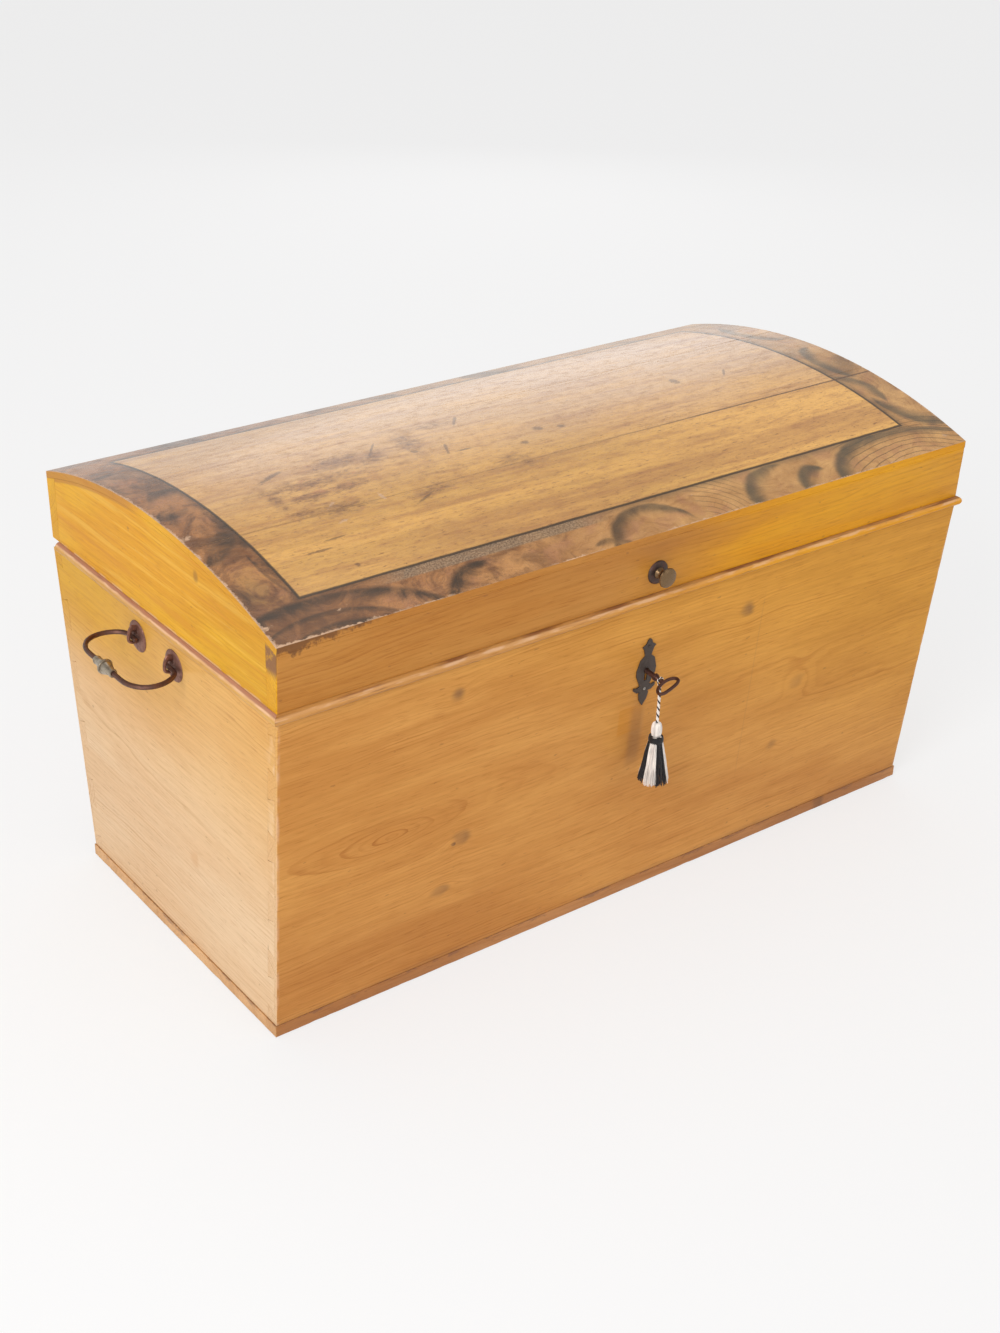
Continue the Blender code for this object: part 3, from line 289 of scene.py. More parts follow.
class Finish:
    """The nodes of one material. x, y and z are the place on the piece, in metres."""

    def __init__(self, name, **constants):
        self.material = bpy.data.materials.new(name)
        self.material.use_nodes = True
        self.tree = self.material.node_tree
        self.shader = self.tree.nodes["Principled BSDF"]
        for socket, value in constants.items():
            self.shader.inputs[socket.replace("_", " ")].default_value = value
        split = self.node("SeparateXYZ", None, {0: self.node("TexCoord").output("Object")})
        self.x, self.y, self.z = (split.output(axis) for axis in "XYZ")

    def node(self, kind, settings=None, sockets=None, out=0):
        """Adds a node, sets it up, fills its sockets with values or links, and gives one of its outputs."""
        made = self.tree.nodes.new("ShaderNode" + kind)
        for key, value in (settings or {}).items():
            setattr(made, key, value)
        for key, value in (sockets or {}).items():
            self.join(value, made.inputs[key])
        return Value(self, made.outputs[out])

    def join(self, value, socket):
        if isinstance(value, Value):
            self.tree.links.new(value.socket, socket)
        elif socket.type == "RGBA":
            socket.default_value = (*value, 1)
        else:
            socket.default_value = value

    def mix(self, factor, first, second, blend="MIX"):
        settings = {"data_type": "RGBA", "blend_type": blend}
        return self.node("Mix", settings, {0: factor, 6: first, 7: second}, 2)

    def tint(self, share, colour, tint):
        """A colour multiplied by a tint, as far as share says."""
        return self.mix(share, colour, tint, "MULTIPLY")

    def step(self, value, low, high):
        """A smooth step from 0 at low to 1 at high."""
        sockets = {"Value": value, "From Min": low, "From Max": high}
        return self.node("MapRange", {"interpolation_type": "SMOOTHSTEP"}, sockets)

    def span(self, value, low, rise, fall, high):
        """1 from rise to fall, and 0 outside low and high."""
        return self.step(value, low, rise) * self.step(value, high, fall)

    def vector(self, x, y, z=0.0):
        return self.node("CombineXYZ", None, {0: x, 1: y, 2: z})

    def reach(self, place, centre, sizes, turn=0.0):
        """How far a place is from a centre: 1 on the rim of an ellipse of these half sizes, turned in Z."""
        away = self.node("VectorMath", {"operation": "SUBTRACT"}, {0: place, 1: centre})
        if turn:
            sockets = {"Vector": away, "Angle": -turn}
            away = self.node("VectorRotate", {"rotation_type": "Z_AXIS"}, sockets)
        scaled = self.node("VectorMath", {"operation": "DIVIDE"}, {0: away, 1: sizes})
        return scaled, self.node("VectorMath", {"operation": "LENGTH"}, {0: scaled}, "Value")

    def noise(self, place, scale=1.0, detail=2.0, roughness=0.5, distortion=0.0):
        sockets = {
            "Vector": self.vector(*place),
            "Scale": scale,
            "Detail": detail,
            "Roughness": roughness,
            "Distortion": distortion,
        }
        return self.node("TexNoise", None, sockets)

    def patches(self, place, low, high, **cloud):
        """Soft patches: noise cut off between two levels."""
        return self.step(self.noise(place, **cloud), low, high)

    def done(self, colour, roughness, height, distance, strength=1.0, metallic=None):
        """Joins the varying values to the shader and gives the material."""
        self.join(colour, self.shader.inputs["Base Color"])
        self.join(roughness, self.shader.inputs["Roughness"])
        if metallic is not None:
            self.join(metallic, self.shader.inputs["Metallic"])
        sockets = {"Height": height, "Distance": distance, "Strength": strength}
        self.join(self.node("Bump", None, sockets), self.shader.inputs["Normal"])
        return self.material


def square(value):
    return value * value


def shade(colour, share):
    """A colour made darker or lighter."""
    return tuple(min(1.0, part * share) for part in colour)


def hypot(first, second):
    return (square(first) + square(second)).math("SQRT")


def most(values):
    """The largest of several masks at each place."""
    largest = None
    for value in values:
        largest = value if largest is None else largest.math("MAXIMUM", value)
    return largest


def grain(f, along, across, deep, pith, eyes=(), knots=(), slope=0.0, spacing=0.006, seed=0.0):
    """Year rings, fibres and knots of a board sawn from a log whose pith runs along it.
    pith is (place across, depth behind the face). Eyes, (along, across, length, height, lift), close the
    rings into loops. Knots are (along, across, radius, fill).
    """
    face = f.vector(along, across)
    bend = f.noise((along * 2.3 + seed, across * 6.0, deep * 6.0), detail=3) - 0.5
    ripple = f.noise((along * 11.0 + seed, across * 45.0, deep * 45.0), detail=3) - 0.5
    reach = hypot(across - pith[0], deep + pith[1]) + along * slope + bend * 0.040 + ripple * 0.005
    for u, v, length, height, lift in eyes:
        far = f.reach(face, (u, v, 0), (length, height, 1))[1]
        reach = reach - (far * -1.0).math("EXPONENT") * lift
    cores = []
    for u, v, radius, fill in knots:
        off, far = f.reach(face, (u, v, 0), (radius * 1.25, radius, 1))
        reach = reach + (square(far) * -0.2).math("EXPONENT") * (radius * 0.9)
        side = 0.60 + f.step(f.node("SeparateXYZ", None, {0: off}) + ripple * 3.0, -0.6, 1.0) * 0.40
        cores.append(f.step(far + ripple * 2.2, 1.35, 0.40) * side * fill)
    years = reach / spacing
    year = years.math("FRACT")
    tone = f.node("TexWhiteNoise", {"noise_dimensions": "1D"}, {"W": years.math("FLOOR")})
    shown = f.patches((along * 3.6 + seed, across * 15.0, deep * 15.0), 0.38, 0.66, detail=3)
    line = f.span(year, 0.42, 0.88, 0.89, 1.0)
    late = line * (0.20 + square(tone) * 0.80) * (0.2 + shown * 0.8)
    season = f.noise((years * 0.45 + seed, along * 1.5), detail=2)
    fibre = f.noise((along * 9.0 + seed, across * 250.0, deep * 250.0), detail=4, roughness=0.7) - 0.5
    return late, season, fibre, most(cores)


def pine(name, axes, tones, inside=None, marks=None, contrast=0.5, **growth):
    """Varnished pine. axes gives the values along, across and into the board; tones its pale and aged
    colours; inside how far a place is from the outer faces, with the raw colour there; marks adds stains.
    """
    f = Finish(name, Specular_IOR_Level=0.14, Coat_Weight=0.03, Coat_Roughness=0.2)
    along, across, deep = axes(f)
    seed = growth.get("seed", 0.0)
    late, season, fibre, knot = grain(f, along, across, deep, **growth)
    cloud = f.noise((along * 3.2 + seed, across * 10.0, deep * 10.0), detail=4, roughness=0.55)
    pale, aged = tones(f)
    bare = 0.0
    if inside:
        depth, raw = inside(f)
        bare = f.step(depth + fibre * 0.002, 0.0060, 0.0085)
        pale, aged = f.mix(bare, pale, raw), f.mix(bare, aged, shade(raw, 0.74))
    ground = f.mix(f.step(cloud * 0.74 + season * 0.26, 0.38, 0.62), pale, aged)
    colour = f.tint(late * contrast, ground, LATE_WOOD)
    colour = f.tint(f.step(fibre, -0.06, 0.22) * 0.42, colour, DARK_FIBRE)
    colour = f.tint(f.step(fibre, 0.02, -0.22) * 0.34, colour, PALE_FIBRE)
    pore = f.noise((along * 38.0 + seed, across * 620.0, deep * 620.0), detail=2)
    colour = f.tint(f.step(pore, 0.56, 0.70) * 0.42, colour, PORE)
    if knot:
        colour = f.mix(knot * 0.66, colour, KNOT)
    speck = f.patches((along * 60.0 + seed, across * 150.0, deep * 150.0), 0.70, 0.76, detail=2)
    colour = f.mix(speck * 0.4, colour, SPECK)
    if marks:
        colour = f.mix(bare, marks(f, colour), colour)
    rough = 0.34 + late * 0.05 + f.noise((along * 14.0, across * 30.0, deep * 30.0)) * 0.12 + bare * 0.25
    dent = f.noise((along * 22.0 + seed, across * 34.0, deep * 34.0), detail=3)
    height = fibre * 0.55 - late * 0.35 + f.step(dent, 0.62, 0.72) * -0.8
    return f.done(colour, rough, height, 0.0004, 0.35)


# Meshes
def merged_copy(node):
    """A CAD node's shape with its loose triangles joined and its flat faces whole."""
    bm = bmesh.new()
    bm.from_mesh(frame["nodes"][node].data)
    bmesh.ops.remove_doubles(bm, verts=bm.verts, dist=MERGE)
    bmesh.ops.dissolve_limit(bm, angle_limit=FLAT, verts=bm.verts, edges=bm.edges)
    return bm


def stand_in(name, bm, finishes, nodes, sharp=18):
    """Makes a bmesh a piece that takes the place of CAD nodes and rides on their body."""
    mesh = bpy.data.meshes.new(name)
    bm.to_mesh(mesh)
    bm.free()
    for material in finishes:
        mesh.materials.append(material)
    mesh.shade_smooth()
    mesh.set_sharp_from_angle(angle=math.radians(sharp))
    piece = bpy.data.objects.new(name, mesh)
    bpy.context.scene.collection.objects.link(piece)
    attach(piece, BODY_OF[nodes[0]])
    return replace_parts(piece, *nodes)


def neighbour_trees(node, margin):
    """Search trees of the CAD nodes that come near a node."""
    low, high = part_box(node)
    trees = []
    for other, item in frame["nodes"].items():
        other_low, other_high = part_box(other)
        apart = any(other_low[i] > high[i] + margin or other_high[i] < low[i] - margin for i in range(3))
        if other != node and not apart:
            corners = [vert.co for vert in item.data.vertices]
            trees.append(BVHTree.FromPolygons(corners, [face.vertices for face in item.data.polygons]))
    return trees


def sharp_edges(bm, degrees):
    """Outer edges that turn by more than an angle."""
    folds = [edge for edge in bm.edges if len(edge.link_faces) == 2 and edge.is_convex]
    return [edge for edge in folds if edge.calc_face_angle() > math.radians(degrees)]


def free_edges(bm, node, margin):
    """Sharp outer edges that no neighbour covers."""
    trees = neighbour_trees(node, margin)
    found = []
    for edge in sharp_edges(bm, 35):
        ends = [vert.co for vert in edge.verts]
        spots = [ends[0].lerp(ends[1], share) for share in (0.08, 0.5, 0.92)]
        if not any(tree.find_nearest(spot, margin)[0] for tree in trees for spot in spots):
            found.append(edge)
    return found


def ease(bm, edges, width):
    """Rounds edges over."""
    bmesh.ops.bevel(
        bm,
        geom=edges,
        offset=width,
        segments=2,
        profile=0.5,
        affect="EDGES",
        clamp_overlap=True,
        material=-1,
    )


def wear_at(place, chips):
    """How much wider than usual an edge is worn at a place: small waves, and chips here and there."""
    wave = 0.30 * noise.noise(place * 38) + 0.25 * noise.noise(place * 130)
    chip = max(0.0, noise.noise(place * 75 + Vector((3.1, 7.7, 1.3))) - 0.28)
    return wave + chips * chip


def worn_copy(node, width, pitch, margin, chips):
    """A CAD board with its free edges eased, and worn unevenly along their length."""
    bm = merged_copy(node)
    edges = free_edges(bm, node, margin)
    lines = [tuple(vert.co.copy() for vert in edge.verts) for edge in edges]
    pieces = []
    for edge in edges:
        cuts = int(edge.calc_length() / pitch)
        if cuts:
            split = bmesh.ops.subdivide_edges(bm, edges=[edge], cuts=cuts)["geom_split"]
            pieces += [part for part in split if isinstance(part, bmesh.types.BMEdge)]
        else:
            pieces.append(edge)
    ease(bm, pieces, width)
    for vert in bm.verts:
        near = [intersect_point_line(vert.co, *line) for line in lines]
        spots = [line[0].lerp(line[1], min(1.0, max(0.0, share))) for line, (_, share) in zip(lines, near)]
        if spots:
            spot = min(spots, key=lambda place: (place - vert.co).length_squared)
            away = vert.co - spot
            if away.length < width * 1.8:
                vert.co = spot + away * max(0.4, 1 + wear_at(spot, chips))
    return bm


def eased_copy(node, width):
    """A CAD fitting with its sharp edges eased."""
    bm = merged_copy(node)
    ease(bm, sharp_edges(bm, 50), width)
    return bm


def turned(profile, place, steps):
    """A shape turned about place's own Z from (radius, height) points."""
    bm = bmesh.new()
    verts = [bm.verts.new((radius, 0, height)) for radius, height in profile]
    edges = [bm.edges.new(pair) for pair in zip(verts, verts[1:])]
    bmesh.ops.spin(
        bm,
        geom=verts + edges,
        axis=(0, 0, 1),
        cent=(0, 0, 0),
        angle=2 * math.pi,
        steps=steps,
        use_merge=True,
        use_duplicate=False,
    )
    bmesh.ops.remove_doubles(bm, verts=bm.verts, dist=MERGE)
    bmesh.ops.recalc_face_normals(bm, faces=bm.faces)
    bm.transform(place)
    return bm


def strands(lines, radius, resolution):
    """Round strands along lists of points, as one mesh with closed ends."""
    curve = bpy.data.curves.new("strands", "CURVE")
    curve.dimensions = "3D"
    curve.bevel_depth = radius
    curve.bevel_resolution = resolution
    curve.use_fill_caps = True
    for points in lines:
        spline = curve.splines.new("POLY")
        spline.points.add(len(points) - 1)
        for knot, point in zip(spline.points, points):
            knot.co = (*point, 1)
    guide = bpy.data.objects.new("strands", curve)
    bpy.context.scene.collection.objects.link(guide)
    bm = bmesh.new()
    bm.from_mesh(guide.evaluated_get(bpy.context.evaluated_depsgraph_get()).to_mesh())
    bmesh.ops.remove_doubles(bm, verts=bm.verts, dist=MERGE)
    bmesh.ops.recalc_face_normals(bm, faces=bm.faces)
    bpy.data.objects.remove(guide)
    bpy.data.curves.remove(curve)
    return bm


# Stage
def seen_rays(f):
    """1 for the rays that show a surface to the camera, also in a reflection, and 0 for those that light."""
    rays = f.node("LightPath")
    return most(rays.output(ray) for ray in ("Is Camera Ray", "Is Glossy Ray", "Is Transmission Ray"))


def floor_finish(look):
    """A floor that reads as the pale studio ground and keeps the trunk's shadow."""
    f = Finish("studio_floor", Roughness=0.9, Specular_IOR_Level=0.0)
    f.join(look.floor, f.shader.inputs["Base Color"])
    glow = f.node("Emission", None, {"Color": look.floor, "Strength": 1.0})
    lit = Value(f, f.shader.outputs[0])
    both = f.node("MixShader", None, {0: seen_rays(f) * 0.72, 1: lit, 2: glow})
    f.join(both, f.tree.nodes["Material Output"].inputs["Surface"])
    return f.material


def studio_world():
    """Soft white surroundings, brighter where they are seen than where they light, and dimmer overhead."""
    world = bpy.data.worlds.new("studio")
    world.use_nodes = True
    tree = world.node_tree

    def add(kind, sockets):
        made = tree.nodes.new("ShaderNode" + kind)
        for key, value in sockets.items():
            if isinstance(value, bpy.types.NodeSocket):
                tree.links.new(value, made.inputs[key])
            else:
                made.inputs[key].default_value = value
        return made

    rays = add("LightPath", {})
    seen = add("Math", {0: rays.outputs["Is Camera Ray"], 1: rays.outputs["Is Glossy Ray"]})
    seen.operation = "MAXIMUM"
    aim = add("SeparateXYZ", {0: add("TexCoord", {}).outputs["Generated"]})
    heights = {"From Min": 0.10, "From Max": 0.85, "To Min": 0.98, "To Max": 0.30}
    sky = add("MapRange", {"Value": aim.outputs["Z"], **heights})
    level = add("MapRange", {"Value": seen.outputs[0], "To Min": 0.64, "To Max": sky.outputs[0]})
    background = tree.nodes["Background"]
    background.inputs["Color"].default_value = (0.930, 0.930, 0.940, 1)
    tree.links.new(level.outputs[0], background.inputs["Strength"])
    return world


def add_lamp(name, place, aim, size, power):
    lamp = bpy.data.lights.new(name, "AREA")
    lamp.shape = "DISK"
    lamp.size = size
    lamp.energy = power
    item = bpy.data.objects.new(name, lamp)
    bpy.context.scene.collection.objects.link(item)
    item.location = place
    item.rotation_euler = (Vector(aim) - Vector(place)).to_track_quat("-Z", "Y").to_euler()


def add_camera():
    camera = bpy.data.cameras.new("photo_camera")
    camera.sensor_width = SENSOR
    camera.lens = FOCAL_PIXELS * SENSOR / PHOTO_HEIGHT
    item = bpy.data.objects.new("photo_camera", camera)
    bpy.context.scene.collection.objects.link(item)
    turn = Matrix((CAMERA_RIGHT, -Vector(CAMERA_DOWN), -Vector(CAMERA_AHEAD))).transposed()
    item.matrix_world = Matrix.Translation(CAMERA_AT) @ turn.to_4x4()
    bpy.context.scene.camera = item


class TRUNK_OT_stage(bpy.types.Operator):
    """Adds the floor, the soft lights and the photograph's camera"""

    bl_idname = "trunk.stage"
    bl_label = "Stage"

    def execute(self, context):
        bm = bmesh.new()
        bmesh.ops.create_circle(bm, cap_ends=True, segments=64, radius=40)
        mesh = bpy.data.meshes.new("floor")
        bm.to_mesh(mesh)
        bm.free()
        mesh.materials.append(floor_finish(palette(context)))
        floor = bpy.data.objects.new("floor", mesh)
        floor.location.z = -0.0005
        context.scene.collection.objects.link(floor)
        context.scene.world = studio_world()
        add_lamp("key", (-3.2, -1.6, 2.6), (0, 0, 0.3), 2.2, 85)
        add_lamp("fill", (1.2, -3.6, 2.2), (0, 0, 0.3), 2.5, 10)
        add_lamp("top", (0.2, 0.6, 3.4), (0, 0, 0.4), 2.5, 12)
        add_lamp("back", (2.2, 3.0, 1.5), (0, 0, 0.5), 2.2, 8)
        context.scene.view_settings.view_transform = "Standard"
        add_camera()
        return {"FINISHED"}


# Tassel
def silk(name, colour):
    """Lustrous twisted thread, with painted shade in fine dark streaks between the threads."""
    f = Finish(name, Sheen_Weight=0.25, Sheen_Roughness=0.4, Specular_IOR_Level=0.3)
    strand = f.noise((f.x * 900.0, f.y * 900.0, f.z * 60.0), detail=3)
    tone = f.noise((f.x * 260.0, f.y * 260.0, f.z * 30.0), detail=2)
    tint = f.mix(f.step(tone, 0.30, 0.72), shade(colour, 0.80), shade(colour, 1.12))
    # Painted shade: fine dark streaks between the threads.
    tint = f.mix(f.step(strand, 0.52, 0.70) * 0.35, tint, shade(colour, 0.55))
    return f.done(tint, 0.50 + strand * 0.25, strand, 0.0003, 0.4)


def about(axis, radius, angle, height):
    """A point at a radius round the axis of the tassel."""
    return axis + Vector((radius * math.cos(angle), radius * math.sin(angle), height))


def helix(centre_line, radius, turns, start):
    """Points that wind round a line of points."""
    points = []
    for index, centre in enumerate(centre_line):
        angle = start + 2 * math.pi * turns * index / (len(centre_line) - 1)
        points.append(about(centre, radius, angle, 0))
    return points


def paint_faces(bm, start, slot):
    """Gives the faces from index start on a material slot."""
    bm.faces.ensure_lookup_table()
    for face in bm.faces[start:]:
        face.material_index = slot


def join_meshes(*parts):
    """One bmesh of several, each with its own material slot."""
    joined = bmesh.new()
    for slot, part in parts:
        mesh = bpy.data.meshes.new("part")
        part.to_mesh(mesh)
        part.free()
        start = len(joined.faces)
        joined.from_mesh(mesh)
        paint_faces(joined, start, slot)
        bpy.data.meshes.remove(mesh)
    return joined


def panel_is_black(angle):
    """Whether the skirt's panel at an angle is black. Angle 0 faces the camera, and grows to its right."""
    edges = (-135, -102, -47, 11, 63, 118, 170)
    return sum(angle > math.radians(edge) for edge in edges) % 2 == 0


class TRUNK_OT_tassel(bpy.types.Operator):
    """Makes the loop, the twisted cord, the wound head and the loose threads of the tassel"""

    bl_idname = "trunk.tassel"
    bl_label = "Tassel"

    def execute(self, context):
        look = palette(context)
        thread = context.scene.trunk_sizes.thread
        silks = [silk("white_silk", look.white_silk), silk("black_silk", look.black_silk)]
        axis = JOINT_AT["tassel_swing"]
        self.add_loop(axis, silks)
        head = self.add_head(axis, silks, thread)
        self.add_cord(axis, silks, head)
        self.add_skirt(axis, silks, thread)
        return {"FINISHED"}

    def add_cord(self, axis, silks, head):
        """Two white strands and a black one, twisted together."""
        knots = [axis + Vector(knot) for knot in CORD_ROUTE]
        route = interpolate_bezier(*knots, CORD_POINTS)
        line = interpolate_bezier(*knots, 60)
        ply = CORD_RADIUS * 0.50
        twists = [helix(line, CORD_RADIUS - ply, 5.0, 2 * math.pi * index / 3) for index in range(3)]
        cord = stand_in(
            "tassel_twisted_cord",
            join_meshes((0, strands(twists[:2], ply, 2)), (1, strands(twists[2:], ply, 2))),
            silks,
            ["tassel_cord"],
            60,
        )

    def add_loop(self, axis, silks):
        """The strand that runs over the key's neck, a white and a black ply twisted together."""
        radius, foot, spread = 0.0043, -0.0107, 0.0014
        line = [Vector((-spread, 0, foot)), Vector((-spread * 1.7, 0, foot * 0.6))]
        for step in range(25):
            angle = math.radians(-125 + 250 * step / 24)
            line.append(Vector((radius * math.sin(angle), 0, radius * math.cos(angle))))
        line += [Vector((spread * 1.7, 0, foot * 0.6)), Vector((spread, 0, foot))]
        plies = ([], [])
        for index, point in enumerate(line):
            out = Vector((point.x, 0, point.z)).normalized()
            turn = 2 * math.pi * index / 7
            offset = (out * math.cos(turn) + Vector((0, 1, 0)) * math.sin(turn)) * 0.00052
            plies[0].append(axis + point + offset)
            plies[1].append(axis + point - offset)
        bm = join_meshes((0, strands(plies[:1], 0.0006, 2)), (1, strands(plies[1:], 0.00056, 2)))
        stand_in("tassel_twisted_loop", bm, silks, ["tassel_loop"], 60)

    def add_head(self, axis, silks, thread):
        """A bulb covered with threads laid down its sides."""
        profile = [(0.0, 0.0), (CORD_RADIUS, 0.0)]
        for step in range(1, 16):
            angle = math.pi * step / 17
            bulge = CORD_RADIUS + (HEAD_RADIUS - thread - CORD_RADIUS) * math.sin(angle) ** 0.62
            profile.append((bulge, -HEAD_HEIGHT * (1 - math.cos(angle)) / 2))
        profile.append((0.0, -HEAD_HEIGHT))
        core = turned(profile, Matrix.Translation(axis + Vector((0, 0, HEAD_TOP))), 48)
        draw = random.Random(5)
        lays = []
        for index in range(54):
            start = 2 * math.pi * index / 54
            lean = draw.uniform(0.10, 0.22)
            line = []
            for radius, height in profile[1:-1]:
                angle = start + lean * height / HEAD_HEIGHT
                line.append(about(axis, radius + thread * 0.25, angle, HEAD_TOP + height))
            lays.append(line)
        bm = join_meshes((0, core), (0, strands(lays, thread * 0.52, 0)))
        return stand_in("tassel_wound_head", bm, silks, ["tassel_head"], 60)

    def add_skirt(self, axis, silks, thread):
        """Loose threads in white and black panels, which flare from a wound black band."""
        facing = math.atan2(CAMERA_AT[1] - axis.y, CAMERA_AT[0] - axis.x)
        draw = random.Random(11)
        sides = ([], [])
        for count, share in ((150, 1.0), (120, 0.86), (80, 0.66)):
            for index in range(count):
                angle = 2 * math.pi * (index + draw.uniform(-0.4, 0.4)) / count - math.pi
                black = panel_is_black(angle)
                low = share * SKIRT_RADIUS * draw.uniform(0.92, 1.0)
                sway = draw.uniform(-0.10, 0.10)
                length = SKIRT_HEIGHT * draw.uniform(0.93, 1.0)
                bow = draw.uniform(0.70, 0.95)
                line = []
                for step in range(9):
                    part = step / 8
                    radius = SKIRT_NECK * share + (low - SKIRT_NECK * share) * part**bow
                    turn = facing + angle + sway * part * part
                    wave = 0.0004 * math.sin(part * 9 + index)
                    line.append(about(axis, radius + wave, turn, SKIRT_TOP - length * part))
                sides[black].append(line)
        wraps = []
        for row in range(WRAPS):
            height = SKIRT_TOP + 0.0010 - row * WRAP_PITCH
            radius = SKIRT_NECK + 0.0020 + 0.0008 * math.sin(math.pi * (row + 0.5) / WRAPS)
            turns = [2 * math.pi * step / 28 for step in range(29)]
            wraps.append([about(axis, radius, turn, height - WRAP_PITCH * turn / 7) for turn in turns])
        bm = join_meshes(
            (0, strands(sides[0], thread / 2, 0)),
            (1, strands(sides[1], thread / 2, 0)),
            (1, strands(wraps, 0.0009, 1)),
        )
        stand_in("tassel_loose_threads", bm, silks, ["tassel_skirt"], 60)


# Growth of the boards: knots are (along, across, radius, fill), eyes (along, across, length, height, lift)
FRONT_GRAIN = {
    "pith": (0.255, 0.11),
    "eyes": ((-0.385, 0.245, 0.15, 0.042, 0.042),),
    "spacing": 0.0044,
    "knots": (
        (-0.303, 0.4215, 0.0095, 1.1),
        (-0.279, 0.2010, 0.0105, 0.9),
        (-0.292, 0.1960, 0.0030, 1.5),
        (-0.307, 0.1300, 0.0100, 0.75),
        (0.166, 0.4020, 0.0100, 1.1),
        (0.287, 0.2500, 0.0115, 0.40),
        (0.258, 0.1560, 0.0090, 0.6),
    ),
}
BACK_GRAIN = {
    "pith": (0.15, 0.09),
    "slope": 0.02,
    "eyes": ((0.10, 0.15, 0.20, 0.06, 0.020),),
    "knots": ((0.34, 0.33, 0.012, 1.0), (-0.11, 0.24, 0.009, 0.8), (0.02, 0.08, 0.011, 0.7)),
    "seed": 4.3,
}
LEFT_GRAIN = {
    "pith": (0.275, 0.12),
    "eyes": ((0.02, 0.275, 0.12, 0.035, 0.024),),
    "spacing": 0.0048,
    "seed": 8.1,
}
RIGHT_GRAIN = {
    "pith": (0.20, 0.13),
    "slope": -0.02,
    "eyes": ((-0.05, 0.20, 0.15, 0.05, 0.014),),
    "knots": ((0.10, 0.31, 0.0095, 0.6),),
    "seed": 2.7,
}
FOOT_GRAIN = {"pith": (-0.05, 0.10), "knots": ((0.382, -0.244, 0.008, 1.0),), "slope": 0.05, "seed": 6.6}
LIP_GRAIN = {"pith": (0.0, 0.03), "slope": 0.05, "spacing": 0.005, "seed": 3.3}
RAIL_GRAIN = {"pith": (0.58, 0.06), "slope": 0.015, "spacing": 0.005, "seed": 1.9}
LID_END_GRAIN = {"pith": (0.40, 0.06), "slope": 0.015, "spacing": 0.005, "seed": 5.2}


def front_axes(f):
    return f.x, f.z, FRONT_FOOT + f.z * FRONT_SLOPE - abs(f.y)


def end_axes(f):
    return f.y, f.z, END_FOOT + f.z * END_SLOPE - abs(f.x)


def lid_axes(f):
    return f.x, f.z, LID_FACE - abs(f.y)


def lid_end_axes(f):
    return f.y, f.z, LID_END - abs(f.x)


def flat_axes(f):
    return f.x, f.y, f.z


def side_axes(f):
    return f.y, f.x, f.z


